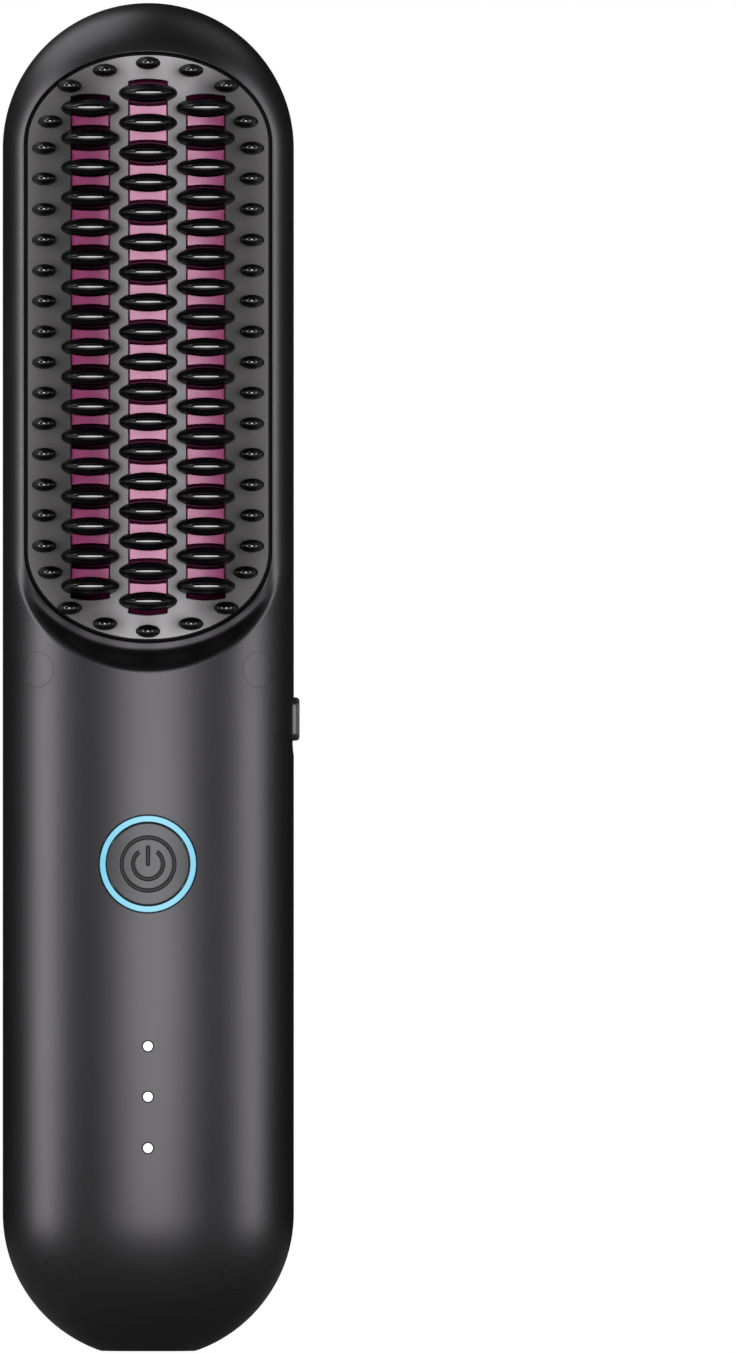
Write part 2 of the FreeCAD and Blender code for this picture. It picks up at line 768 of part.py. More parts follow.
# Power button: domed cap flush with the handle, retaining tabs and a stem
button_cap = front_rod(button_diameter / 2, 0, button_z, button_skirt, half_depth + overrun)
button_cap = button_cap.common(outer_form)
button_cap = button_cap.cut(front_rod(button_bore / 2, 0, button_z, 0, button_roof))
plunger_top = board_front + tact_height + button_travel + plunger_fit
stem = front_rod(button_stem_diameter / 2, 0, button_z, plunger_top, button_roof + part_fit)
tabs = slab(-tab_width / 2, tab_width / 2, button_skirt, button_skirt + tab_thickness,
            button_z - tab_reach, button_z + tab_reach)
tabs = tabs.cut(front_rod(button_bore / 2, 0, button_z, 0, button_roof))
power_button = button_cap.fuse([stem, tabs])
light_ring = front_rod(ring_outer_diameter / 2, 0, button_z, ring_underside, half_depth + overrun)
light_ring = light_ring.cut(front_rod(ring_inner_diameter / 2, 0, button_z, 0, half_depth + overrun))
light_ring = light_ring.common(outer_form)
tact_switch = slab(-tact_size / 2, tact_size / 2, board_front, board_front + tact_height,
                   button_z - tact_size / 2, button_z + tact_size / 2)
tact_switch = tact_switch.cut(front_rod(plunger_diameter / 2 + plunger_fit, 0, button_z, 0, half_depth))
tact_plunger = front_rod(plunger_diameter / 2, 0, button_z, plunger_top - plunger_height, plunger_top)
ring_lights = []
for angle in ring_light_angles:
    x = ring_light_radius * math.cos(math.radians(angle))
    z = button_z + ring_light_radius * math.sin(math.radians(angle))
    ring_lights.append(slab(x - light_length / 2, x + light_length / 2,
                            board_front, board_front + light_height,
                            z - light_width / 2, z + light_width / 2))

# Status lights: three light pipes on one bar, and their chips on the board
status_bar = slab(-status_bar_width / 2, status_bar_width / 2, status_bar_back, status_bar_front,
                  min(status_z) - status_bar_end, max(status_z) + status_bar_end)
status_pipes = []
for z in status_z:
    pipe = front_rod(status_diameter / 2, 0, z, status_bar_back, half_depth + overrun)
    status_pipes.append(pipe.common(outer_form))
status_lights = status_bar.fuse(status_pipes)
status_chips = [slab(-light_length / 2, light_length / 2, board_front, board_front + light_height,
                     z - light_width / 2, z + light_width / 2) for z in status_z]

# Lock slider: knob in the slot, guide plate inside the wall; its switch on the chassis
knob_round = knob_width / 2
knob_span = knob_length / 2 - knob_round
knob_core = slab(lock_plate_outer, half_width + knob_proud, -knob_round, knob_round,
                 knob_centre - knob_span, knob_centre + knob_span)
knob_ends = [rod(knob_round, Vector(lock_plate_outer, 0, z), Vector(half_width + knob_proud, 0, z))
             for z in (knob_centre - knob_span, knob_centre + knob_span)]
lock_plate = slab(lock_plate_inner, lock_plate_outer, -lock_plate_width / 2, lock_plate_width / 2,
                  knob_centre - lock_plate_length / 2, knob_centre + lock_plate_length / 2)
lock_slider = lock_plate.fuse([knob_core] + knob_ends).removeSplitter()
lever_rest = knob_centre
switch_middle = knob_centre - lock_travel / 2
lock_lever = slab(lever_root, lock_plate_inner, -lever_width / 2, lever_width / 2,
                  lever_rest - lever_length / 2, lever_rest + lever_length / 2)
lever_slot_half = (lever_length + lock_travel) / 2 + lever_gap
lock_switch = slab(switch_inner, switch_outer, -switch_width / 2, switch_width / 2,
                   switch_middle - switch_length / 2, switch_middle + switch_length / 2)
lock_switch = lock_switch.cut(slab(lever_root - lever_gap, switch_outer + overrun,
                                   -lever_width / 2 - lever_gap, lever_width / 2 + lever_gap,
                                   switch_middle - lever_slot_half, switch_middle + lever_slot_half))

# Battery cell: turned can with a rolled groove and a raised cap, welded nickel tabs
cell_top = cell_bottom + cell_length
groove_low = cell_top - cell_shoulder
cell_can = polygon([
    Vector(0, 0, cell_bottom),
    Vector(cell_radius, 0, cell_bottom),
    Vector(cell_radius, 0, groove_low),
    Vector(cell_radius - cell_groove_depth, 0, groove_low + cell_groove_height / 2),
    Vector(cell_radius, 0, groove_low + cell_groove_height),
    Vector(cell_radius, 0, cell_top - cell_cap_height),
    Vector(cell_cap_diameter / 2, 0, cell_top - cell_cap_height),
    Vector(cell_cap_diameter / 2, 0, cell_top),
    Vector(0, 0, cell_top),
])
battery_cell = Part.Face(cell_can).revolve(Vector(0, 0, 0), Vector(0, 0, 1), 360)
battery_cell.translate(Vector(0, cell_back_offset, 0))
tab_half = tab_strip_width / 2
tab_back = -cell_back_offset - tab_half
leg_back = board_back - tab_strip_thickness
battery_tabs = []
for face, sense in ((cell_top, 1), (cell_bottom, -1)):
    lows = sorted((face, face + sense * tab_strip_thickness))
    strip = slab(-tab_half, tab_half, tab_back, board_back, lows[0], lows[1])
    legs = sorted((face, face + sense * tab_strip_leg))
    battery_tabs.append(strip.fuse(slab(-tab_half, tab_half, leg_back, board_back, legs[0], legs[1])))

# Main board behind the button, the pad between it and the cell
main_board = slab(-board_half_width, board_half_width, board_back, board_front, board_bottom, board_top)
main_board = main_board.common(body_form(wall + board_edge_gap))
cell_front = cell_radius - cell_back_offset
cell_pad = slab(-pad_half_width, pad_half_width, cell_front, board_back, pad_bottom, pad_top)

# Charging socket at the foot and its board
socket_round = socket_height / 2
socket_core_half = socket_width / 2 - socket_round


def socket_tube(radius, low, high):
    """Flat-oval bar along the socket axis."""
    ends = [rod(radius, Vector(x, 0, low), Vector(x, 0, high))
            for x in (-socket_core_half, socket_core_half)]
    return slab(-socket_core_half, socket_core_half, -radius, radius, low, high).fuse(ends).removeSplitter()


socket_top = socket_recess + socket_length
charge_socket = socket_tube(socket_round, socket_recess, socket_top)
charge_socket = charge_socket.cut(socket_tube(socket_round - socket_wall, 0, socket_top - socket_back_wall))
charge_socket = charge_socket.fuse(slab(-socket_tongue_width / 2, socket_tongue_width / 2,
                                        -socket_tongue_thickness / 2, socket_tongue_thickness / 2,
                                        socket_recess + socket_tongue_setback,
                                        socket_top - socket_back_wall))
board_face = -socket_round
charge_board = slab(-charge_board_half_width, charge_board_half_width, board_face - charge_board_thickness,
                    board_face, charge_board_bottom, charge_board_top)

# Chassis: cradle round the cell, ribs, foot and neck blocks, switch bracket and screw lugs
cradle_outer = cell_radius + cell_bore_gap + cradle_wall
cell_axis_low = Vector(0, cell_back_offset, foot_block_top)
cradle = rod(cradle_outer, cell_axis_low, Vector(0, cell_back_offset, cell_top))
ribs = [slab(-half_width, half_width, -half_depth, board_back, z, z + rib_thickness) for z in rib_heights]
foot_block = slab(-half_width, half_width, -half_depth, block_front, chassis_bottom, foot_block_top)
neck_block = slab(-half_width, half_width, -half_depth, block_front, neck_block_bottom, chassis_top)
bracket = slab(switch_inner - bracket_thickness, switch_inner, -bracket_half_width, bracket_half_width,
               bracket_bottom, neck_block_bottom)
lugs = [front_rod(frame_boss_diameter / 2, axis.x, axis.z, -frame_boss_top,
                  frame_lug_thickness - frame_boss_top) for axis in frame_screw_axes]
lug_arms = [slab(min(axis.x, 0), max(axis.x, 0), -frame_boss_top, frame_lug_thickness - frame_boss_top,
                 axis.z - frame_boss_diameter / 2, axis.z + frame_boss_diameter / 2)
            for axis in frame_screw_axes]
solid_chassis = cradle.fuse(ribs + [foot_block, neck_block, bracket] + lugs + lug_arms).common(chassis_form)
cell_space = rod(cell_radius + cell_bore_gap, cell_axis_low, Vector(0, cell_back_offset, neck_block_bottom))
board_space = slab(-half_width, half_width, cell_front, half_depth, 0, chassis_top)
wire_hole = slab(-wire_hole_half_width, wire_hole_half_width, -wire_hole_depth, block_front + overrun,
                 neck_block_bottom - overrun, chassis_top + overrun)
board_slot = slab(-charge_board_half_width - part_fit, charge_board_half_width + part_fit,
                  board_face - charge_board_thickness - part_fit, board_face + part_fit,
                  0, charge_board_top + part_fit)
socket_space = slab(-socket_width / 2 - socket_gap, socket_width / 2 + socket_gap,
                    board_face, socket_round + socket_gap, 0, socket_top + socket_gap)
charge_lead_holes = [front_rod(wire_diameter / 2 + part_fit, side * charge_lead_x, charge_lead_z,
                               board_face, block_front + overrun) for side in (1, -1)]
lug_holes = [front_rod(screw_diameter / 2 + screw_hole_gap, axis.x, axis.z, -half_depth, half_depth)
             for axis in frame_screw_axes]
boss_spaces = along_plug(boss_diameter / 2 + part_fit, -overrun, boss_depth + part_fit)
pilots = along_plug(screw_diameter / 2, 0, head_sink + screw_length + part_fit)
lock_space = slab(lock_plate_inner - lock_relief, half_width,
                  -lock_plate_width / 2 - lock_relief, lock_plate_width / 2 + lock_relief,
                  bracket_bottom, knob_centre + lock_plate_length / 2 + lock_relief)
inner_chassis = solid_chassis.cut([cell_space, board_space, wire_hole])
inner_chassis = inner_chassis.cut([board_slot, socket_space, lock_space])
inner_chassis = inner_chassis.cut(charge_lead_holes + lug_holes + boss_spaces + pilots)
frame_screws = [screw(Vector(axis.x, frame_boss_top - frame_lug_thickness, axis.z), Vector(0, 1, 0),
                      frame_screw_length) for axis in frame_screw_axes]

# Wires: heater leads over the neck, charging leads at the foot, switch leads at the side
heater_leads = [wire_tube([
    Vector(side * heater_lead_x, -carrier_underside, heater_lead_z),
    Vector(side * heater_lead_x, heater_lead_drop + wire_bend, heater_lead_z),
    Vector(side * heater_lead_x, heater_lead_drop + wire_bend, heater_lead_board_z),
    Vector(side * heater_lead_x, -board_back, heater_lead_board_z),
]) for side in (1, -1)]
charge_leads = [front_rod(wire_diameter / 2, side * charge_lead_x, charge_lead_z, board_face, board_back)
                for side in (1, -1)]
switch_leads = [wire_tube([
    Vector(switch_lead_x, -switch_width / 2, z),
    Vector(switch_lead_x, -switch_lead_front, z),
    Vector(switch_lead_board_x, -switch_lead_front, z),
    Vector(switch_lead_board_x, -board_back, z),
]) for z in switch_lead_z]

nodes = {
    "front_shell": [front_shell],
    "rear_shell": [rear_shell],
    "screw_plugs": plugs,
    "shell_screws": shell_screws,
    "brush_plate": [brush_plate],
    "plate_gasket": [plate_gasket],
    "bristle_ring": [bristle_ring],
    "heater_carrier": [heater_carrier],
    "carrier_screws": carrier_screws,
    "ceramic_heaters": heaters,
    "temperature_sensor": [temperature_sensor],
    "thermal_fuse": [thermal_fuse],
    "insulation_sheet": [insulation],
    "power_button": [power_button],
    "button_light_ring": [light_ring],
    "tact_switch": [tact_switch],
    "tact_plunger": [tact_plunger],
    "ring_light_chips": ring_lights,
    "status_lights": [status_lights],
    "status_light_chips": status_chips,
    "lock_slider": [lock_slider],
    "lock_lever": [lock_lever],
    "lock_switch": [lock_switch],
    "battery_cell": [battery_cell],
    "battery_tabs": battery_tabs,
    "main_board": [main_board],
    "cell_pad": [cell_pad],
    "charge_socket": [charge_socket],
    "charge_board": [charge_board],
    "inner_chassis": [inner_chassis],
    "frame_screws": frame_screws,
    "heater_leads": heater_leads,
    "charge_leads": charge_leads,
    "switch_leads": switch_leads,
}
for name in columns:
    nodes["tooth_comb_" + name] = [combs[name]]
    nodes["heater_bar_" + name] = [bars[name]]

os.makedirs("parts", exist_ok=True)
for name, pieces in nodes.items():
    solids = [solid for piece in pieces for solid in piece.Solids]
    shape = solids[0] if len(solids) == 1 else Part.makeCompound(solids)
    shape.exportStep("parts/" + name + ".step")
    print(name, len(solids), round(shape.Volume, 2), shape.isValid())
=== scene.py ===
import math

import bmesh
import bpy
import numpy as np
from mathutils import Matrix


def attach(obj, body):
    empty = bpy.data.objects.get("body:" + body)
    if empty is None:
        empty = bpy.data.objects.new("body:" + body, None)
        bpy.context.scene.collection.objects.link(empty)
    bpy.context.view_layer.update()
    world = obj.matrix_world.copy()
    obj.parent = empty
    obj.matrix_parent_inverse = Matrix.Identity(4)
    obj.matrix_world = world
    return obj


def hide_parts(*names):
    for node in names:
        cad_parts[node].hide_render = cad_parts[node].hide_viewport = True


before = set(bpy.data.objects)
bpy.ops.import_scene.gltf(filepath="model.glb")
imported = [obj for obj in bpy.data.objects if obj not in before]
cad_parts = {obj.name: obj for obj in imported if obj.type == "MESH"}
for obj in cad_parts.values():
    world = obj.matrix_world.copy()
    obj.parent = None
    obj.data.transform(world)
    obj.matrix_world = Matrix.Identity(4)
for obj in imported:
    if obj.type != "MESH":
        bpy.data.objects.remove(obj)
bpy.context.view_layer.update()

# Rear shell: the back half of the body, one moulding in satin charcoal plastic, 2 mm thick,
# with a tongue round its edge that enters the front half. No screw shows on this side.
half_width = 21.6  # half the body's width, mm
half_depth = 14.6  # half its depth, front to back
foot_centre = 20.43  # level of the centre of the foot's round end
top_centre = 178.4  # level of the centre of the head's round end
wall = 2.0
parting = 0.1  # half the gap between the two shells
edge_break = 0.07  # broken corner along the parting line
tongue_inset, tongue_height = 1.1, 1.2
side_steps, end_steps, skin_rings, lining_rings = 70, 96, 44, 14
slot_middle, slot_span, slot_half_width = 92.75, 2.55, 1.8
slot_cut_start, slot_cut_end = 14.0, 40.0
mouth_span, mouth_half_height, mouth_cut_end = 2.84, 1.83, 9.0
charcoal, charcoal_light = (0.0022, 0.0022, 0.0023, 1), (0.0032, 0.0031, 0.0033, 1)


def two_way(operation):
    """Method that joins a socket and another value in a Math node."""
    return lambda self, other: self.maths(operation, self, other)


class Flow:
    """A socket of a material. Sums and products of it add Math nodes, node() adds any other."""

    def __init__(self, tree, socket):
        self.tree = tree
        self.socket = socket

    def node(self, kind, settings=(), values=(), out=0):
        """Adds a node, sets it up, then gives its sockets their values or links."""
        made = self.tree.nodes.new(kind)
        for key, value in dict(settings).items():
            setattr(made, key, value)
        for key, value in dict(values).items():
            if isinstance(value, Flow):
                self.tree.links.new(value.socket, made.inputs[key])
            else:
                made.inputs[key].default_value = value
        return Flow(self.tree, made.outputs[out])

    def maths(self, operation, *values, clamp=False):
        settings = {"operation": operation, "use_clamp": clamp}
        return self.node("ShaderNodeMath", settings, dict(enumerate(values)))

    __add__, __sub__ = two_way("ADD"), two_way("SUBTRACT")
    __mul__, __truediv__ = two_way("MULTIPLY"), two_way("DIVIDE")
    least, most = two_way("MINIMUM"), two_way("MAXIMUM")

    def __rsub__(self, other):
        return self.maths("SUBTRACT", other, self)

    def __abs__(self):
        return self.maths("ABSOLUTE", self)

    def span(self, other):
        """Length of the slant over two sides at a right angle."""
        return self.maths("SQRT", self * self + other * other)

    def below(self, edge, soft):
        """1 where the value is under an edge and 0 above it, with a soft step between."""
        return self.maths("ADD", (edge - self) / soft, 0.5, clamp=True)

    def mix(self, first, second):
        """Colour from first at 0 to second at 1."""
        settings = {"data_type": "RGBA"}
        return self.node("ShaderNodeMix", settings, {0: self, 6: first, 7: second}, out=2)

    def noise(self, scale, detail=2.0):
        """Cloudy value about 0.5, with scale waves to the millimetre; self is a place in mm."""
        values = {"Vector": self, "Scale": scale, "Detail": detail}
        return self.node("ShaderNodeTexNoise", {}, values)

    def axis(self, number):
        return self.node("ShaderNodeSeparateXYZ", {}, {0: self}, out=number)

    def bump(self, strength, relief):
        """Normal of a surface that this value raises by up to a relief in mm."""
        values = {"Strength": strength, "Distance": relief * 0.001, "Height": self}
        return self.node("ShaderNodeBump", {}, values)


def finish(name, **constants):
    """Material with one Principled shader, constants set on its sockets.
    Gives the material, a function that links what varies, and the place in mm."""
    made = bpy.data.materials.new(name)
    made.use_nodes = True
    tree = made.node_tree
    shader = tree.nodes["Principled BSDF"]
    for key, value in constants.items():
        shader.inputs[key.replace("_", " ")].default_value = value
    coords = tree.nodes.new("ShaderNodeTexCoord")
    place = Flow(tree, coords.outputs["Object"])
    scale = {"operation": "SCALE"}
    place = place.node("ShaderNodeVectorMath", scale, {0: place, "Scale": 1000.0})

    def link(**varying):
        for key, value in varying.items():
            tree.links.new(value.socket, shader.inputs[key.replace("_", " ")])

    return made, link, place


def satin(place, cloud_scale, grain_scale, strength, relief):
    """Cloud and grain of a satin surface, and the normal that its grain raises."""
    cloud, grain = place.noise(cloud_scale, 3.0), place.noise(grain_scale, 1.0)
    return cloud, grain, grain.bump(strength, relief)


def grid_faces(rows, columns, closed_rows=False, closed_columns=True):
    """Corner numbers of the four-sided faces between the points of a grid."""
    row = np.arange(rows if closed_rows else rows - 1)[:, None]
    column = np.arange(columns if closed_columns else columns - 1)[None, :]
    next_row, next_column = (row + 1) % rows, (column + 1) % columns
    corners = [row * columns + column, row * columns + next_column,
               next_row * columns + next_column, next_row * columns + column]
    return np.stack(corners, axis=-1).reshape(-1, 4)


def settle(mesh, sharp=38.0):
    """Joins corners that coincide, turns the faces outwards and shades the rounds smooth."""
    work = bmesh.new()
    work.from_mesh(mesh)
    bmesh.ops.remove_doubles(work, verts=work.verts, dist=2e-7)
    bmesh.ops.recalc_face_normals(work, faces=work.faces)
    work.to_mesh(mesh)
    work.free()
    mesh.polygons.foreach_set("use_smooth", np.ones(len(mesh.polygons), bool))
    mesh.set_sharp_from_angle(angle=math.radians(sharp))


def add_object(name, points, faces, paint):
    """Object in the scene from points in metres and the corner numbers of its faces."""
    mesh = bpy.data.meshes.new(name)
    mesh.from_pydata(points, [], faces.tolist())
    mesh.materials.append(paint)
    added = bpy.data.objects.new(name, mesh)
    bpy.context.scene.collection.objects.link(added)
    return added


def make_piece(name, grids, paint, sharp=38.0, closed=False):
    """Object from grids of points in mm, each an array (rows, columns, 3) with closed columns.
    Closed says that the rows of the last grid close too."""
    points, faces, used = [], [], 0
    for grid in grids:
        rows, columns = grid.shape[:2]
        points.append(grid.reshape(-1, 3))
        faces.append(grid_faces(rows, columns, closed and grid is grids[-1]) + used)
        used += rows * columns
    piece = add_object(name, np.concatenate(points) * 0.001, np.concatenate(faces), paint)
    settle(piece.data, sharp)
    return piece


def fit(piece, body, slot, *nodes):
    """Puts a piece on its body and hides the nodes it stands for. The slot is not used."""
    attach(piece, body)
    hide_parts(*nodes)


def stack(x, y, z):
    """Grid of points from three arrays that spread over one another."""
    return np.stack(np.broadcast_arrays(x, y, z), axis=-1).astype(float)


def as_column(*values):
    """Values one below the other, to spread over a row."""
    return np.array(values)[:, None]


def flat_oval(span, radius, count=24):
    """Outline of a flat oval: two half circles, span either side of the middle."""
    turn = (np.arange(2 * count) + 0.5) / count * np.pi
    return span * np.sign(np.cos(turn)) + radius * np.cos(turn), radius * np.sin(turn)


def bar(across, along, low, high):
    """Closed straight bar: an outline carried from low to high, its ends drawn to a point."""
    grow = as_column(0, 1, 1, 0)
    return across * grow, along * grow, as_column(low, low, high, high)


def cut_away(piece, cutters):
    """Takes closed cutters out of a piece's mesh for good, and removes them."""
    for cutter in cutters:
        taking = piece.modifiers.new("cut", "BOOLEAN")
        taking.object = cutter
        taking.solver = "EXACT"
    bpy.context.view_layer.update()
    seen = piece.evaluated_get(bpy.context.evaluated_depsgraph_get())
    mesh = bpy.data.meshes.new_from_object(seen)
    piece.modifiers.clear()
    piece.data = mesh
    settle(mesh)
    for cutter in cutters:
        bpy.data.objects.remove(cutter)


def long_oval(run):
    """Turn and rise on a long oval. The run goes 0 to 4: right side up, round the top, left
    side down, round the bottom. The rise is 0 at the lower centre and 1 at the upper."""
    run = run % 4
    part = run % 1
    legs = [run < 1, run < 2, run < 3]
    turn = np.select(legs, [0 * part, np.pi * part, np.pi + 0 * part], np.pi * (1 + part))
    rise = np.select(legs, [part, 1 + 0 * part, 1 - part], 0 * part)
    return turn, rise


def on_half(run, tilt, inset):
    """Width, depth and level on a half body drawn in by inset; tilt is 0 at the parting line
    and a quarter turn on the middle line. The foot is cut flat."""
    turn, rise = long_oval(run)
    middle = foot_centre + rise * (top_centre - foot_centre)
    reach = (half_width - inset) * np.cos(tilt)
    level = np.maximum(middle + np.sin(turn) * reach, inset)
    return np.cos(turn) * reach, (half_depth - inset) * np.sin(tilt), level


def level_ring(run, inset, depth):
    """One ring round the body at the parting line, drawn in by inset, at a depth."""
    x, _, z = on_half(run, 0.0, inset)
    return x, depth + 0 * x, z


def rear_form():
    """Outer skin from the middle line to the edge, shoulder and tongue, inner skin back."""
    sides = np.arange(side_steps) / side_steps
    ends = np.arange(end_steps) / end_steps
    run = np.concatenate([sides, 1 + ends, 2 + sides, 3 + ends])[None, :]
    first = math.asin((parting + edge_break) / half_depth)
    rings = [on_half(run, np.linspace(np.pi / 2, first, skin_rings)[:, None], 0.0),
             level_ring(run, edge_break, parting),
             level_ring(run, tongue_inset, parting),
             level_ring(run, tongue_inset, -tongue_height),
             level_ring(run, wall, -tongue_height),
             on_half(run, np.linspace(0, np.pi / 2, lining_rings)[:, None], wall)]
    return np.concatenate([stack(*ring) for ring in rings])


shell_paint, link_shell, shell_place = finish(
    "satin_charcoal", IOR=1.70, Specular_Tint=(0.985, 0.945, 1.0, 1))
shell_cloud, shell_grain, shell_bump = satin(shell_place, 0.05, 5.0, 0.35, 0.006)
link_shell(Base_Color=shell_cloud.mix(charcoal, charcoal_light), Normal=shell_bump,
           Roughness=shell_cloud * 0.05 + shell_grain * 0.04 + 0.345)


def slot_cutter():
    along, across = flat_oval(slot_span, slot_half_width)
    z, y, x = bar(along, across, slot_cut_start, slot_cut_end)
    return make_piece("slot_cutter", [stack(x, y, z + slot_middle)], shell_paint)


def mouth_cutter():
    x, y, z = bar(*flat_oval(mouth_span, mouth_half_height), -wall, mouth_cut_end)
    return make_piece("mouth_cutter", [stack(x, y, z)], shell_paint)


rear_shell = make_piece("rear_shell_skin", [rear_form()], shell_paint)
cut_away(rear_shell, [slot_cutter(), mouth_cutter()])
fit(rear_shell, "housing", "charcoal_shell", "rear_shell")

# Inside pieces: chassis, cell, boards, switches and wires sit in the closed body. They keep
# the frame's solids, each with the finish of what it is made of.
cloud_drift, grain_drift = 0.08, 0.04  # how far clouds and grain move the roughness


def moulded(name, dark, light, rough, grain=3.0, relief=0.01, **constants):
    """Moulded or formed surface: cloudy colour between two tones, roughness that drifts
    by a few hundredths, and a fine grain in the relief."""
    made, link, place = finish(name, **constants)
    cloud, fine = place.noise(0.12, 4.0), place.noise(grain)
    drift = cloud * cloud_drift + fine * grain_drift
    link(Base_Color=cloud.mix((*dark, 1), (*light, 1)), Normal=fine.bump(0.5, relief),
         Roughness=drift + (rough - (cloud_drift + grain_drift) / 2))
    return made


def repaint(node, paint):
    """Gives a frame node its finish, in the slots of its own object."""
    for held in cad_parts[node].material_slots:
        held.material = paint


inside = [
    (moulded("chassis_black", (0.02, 0.02, 0.022), (0.03, 0.03, 0.032), 0.55),
     "inner_chassis"),
    (moulded("cell_sleeve", (0.03, 0.10, 0.22), (0.04, 0.13, 0.28), 0.35, 0.8),
     "battery_cell"),
    (moulded("nickel", (0.55, 0.52, 0.48), (0.66, 0.63, 0.58), 0.32, 2.0, Metallic=1.0),
     "battery_tabs", "thermal_fuse"),
    (moulded("board_green", (0.01, 0.07, 0.03), (0.015, 0.10, 0.04), 0.4, 1.2),
     "main_board", "charge_board"),
    (moulded("pad_foam", (0.05, 0.05, 0.055), (0.09, 0.09, 0.095), 0.9, 4.0, 0.08),
     "cell_pad"),
    (moulded("screw_steel", (0.32, 0.32, 0.34), (0.45, 0.45, 0.47), 0.34, Metallic=1.0),
     "frame_screws", "shell_screws", "carrier_screws"),
    (moulded("heat_plastic", (0.035, 0.034, 0.033), (0.05, 0.048, 0.046), 0.6),
     "heater_carrier"),
    (moulded("ceramic", (0.70, 0.68, 0.63), (0.80, 0.78, 0.74), 0.45),
     "ceramic_heaters", "temperature_sensor"),
    (moulded("mica", (0.42, 0.33, 0.20), (0.55, 0.45, 0.30), 0.4, 0.9),
     "insulation_sheet"),
    (moulded("switch_black", (0.018, 0.018, 0.02), (0.03, 0.03, 0.032), 0.4),
     "lock_switch", "lock_lever", "tact_switch", "tact_plunger"),
    (moulded("chip_white", (0.75, 0.74, 0.68), (0.85, 0.84, 0.78), 0.3),
     "ring_light_chips", "status_light_chips"),
    (moulded("wire_red", (0.30, 0.02, 0.02), (0.40, 0.03, 0.03), 0.5),
     "heater_leads", "charge_leads", "switch_leads"),
]
for paint, *node_names in inside:
    for node_name in node_names:
        repaint(node_name, paint)

# Heater bars: three lacquered magenta metal strips with a blade under each cap. Every other
# blade stands on a wider foot. The strips follow the plate's crown, just under it.
head_centre = 148.9
plate_height = 9.8  # plate surface at its middle, towards the front
crown_radius = 51.07
column_step = 8.56
column_places = {"left": (-column_step, 17), "centre": (0.0, 18), "right": (column_step, 17)}
last_row = 8.72  # strips take painted shade past this many pitches from the middle
tooth_pitch = 4.43
tooth_half_width, root_half_thick = 4.225, 1.40
strip_half_width, strip_recess, strip_bevel = 2.8, 0.25, 0.12
strip_overhang, strip_bow = 2.0, 0.35
strip_bottom = 5.4
fin_top, fin_inset = 21.97, 0.05
blade_half_thick, root_height = 0.65, 1.25
root_rises = (-1.0, 0.7, 1.0, 1.2, 1.3, 1.6)  # rings of a fin, in heights of its root
root_shares = (1.0, 1.0, 0.94, 0.8)  # thickness of the lower ones; blade above
foot_half_width, foot_half_thick, foot_height, foot_edge = 6.2, 1.96, 0.5, 0.1
shade_start, shade_soft = 0.05, 0.2  # the fins' painted shade begins this far over the plate
blade_start, blade_soft = 2.5, 0.8  # and the blades' own purple this far, above the painted shade
rim_size, rim_half, rim_soft = 1.06, 0.035, 0.03  # painted highlight: a pale line round a root, in root sizes
magenta, magenta_light = (0.64, 0.080, 0.31, 1), (0.72, 0.095, 0.36, 1)
root_shade_plum, rim_highlight_plum, purple = (0.012, 0.001, 0.005, 1), (0.034, 0.014, 0.023, 1), (0.26, 0.012, 0.18, 1)
bare_metal, lacquered_metal = 1.0, 0.11  # how metallic the fins and the strips are


def crown(x):
    """Height of the crowned plate surface at a width."""
    return np.sqrt(crown_radius ** 2 - x ** 2) - (crown_radius - plate_height)


def tooth_levels(count):
    return head_centre + (np.arange(count) - (count - 1) / 2) * tooth_pitch


def upright_bar(x, front, middle, half_wide, count):
    """Closed bar with a profile across (x, front) past a column's last teeth, its ends bowed."""
    bow = strip_bow * ((x - middle) / half_wide) ** 2
    reach = (count - 1) / 2 * tooth_pitch + strip_overhang - bow
    grow = as_column(0, 1, 1, 0)
    middle_x, middle_front = x.mean(), front.mean()
    wide = middle_x + (x - middle_x) * grow
    tall = middle_front + (front - middle_front) * grow
    return stack(wide, -tall, head_centre + as_column(-1, -1, 1, 1) * reach)


def strip_form(middle, count):
    """Strip profile: bottom, sides, a bevel and the crowned top, carried along the column."""
    top = np.linspace(strip_bevel - strip_half_width, strip_half_width - strip_bevel, 15)
    side = strip_half_width
    x = np.concatenate([[side, -side, -side], top, [side]]) + middle
    front = crown(x) - strip_recess
    front[[0, 1]] = strip_bottom
    front[[2, -1]] -= strip_bevel
    return upright_bar(x, front, middle, strip_half_width, count)


def oval_side(x, half_wide, half_thick):
    """Half thickness of an ellipse at a width: full in the middle, closing at both ends."""
    return half_thick * np.sqrt(np.clip(1 - (x / half_wide) ** 2, 0, 1))


def two_sided(x, front, level, half):
    """Closed sections, one to each width, that lie half above and half below a level."""
    up = stack(x, -front, level + half)
    down = stack(x, -front, level - half)
    return np.concatenate([up, down[::-1]], axis=0).swapaxes(0, 1)


def fin_form(middle, level, wide_foot):
    """Fin: an oval section carried up from the strip, thick at its root, then a thin blade.
    A wide foot adds a step round the root."""
    x = np.linspace(-strip_half_width + fin_inset, strip_half_width - fin_inset, 17)[None, :]
    base = crown(middle) - strip_recess
    rise = np.array(root_rises) * root_height
    thick = np.append(np.array(root_shares) * root_half_thick, [blade_half_thick] * 2)
    wide = np.full(len(rise), tooth_half_width)
    if wide_foot:
        foot_rise = [-root_height, foot_height - foot_edge, foot_height, foot_height]
        foot_thick = [foot_half_thick] * 2 + [foot_half_thick - foot_edge, root_half_thick]
        rise = np.concatenate([foot_rise, rise[1:]])
        thick = np.concatenate([foot_thick, thick[1:]])
        wide = np.concatenate([[foot_half_width] * 3, wide])
    rise = np.append(rise, fin_top - base)[:, None]
    thick = np.append(thick, blade_half_thick)[:, None]
    wide = np.append(wide, tooth_half_width)[:, None]
    front = rise + crown(middle + x * (rise < 2 * root_height)) - strip_recess
    return two_sided(x + middle, front, level, oval_side(x, wide, thick))


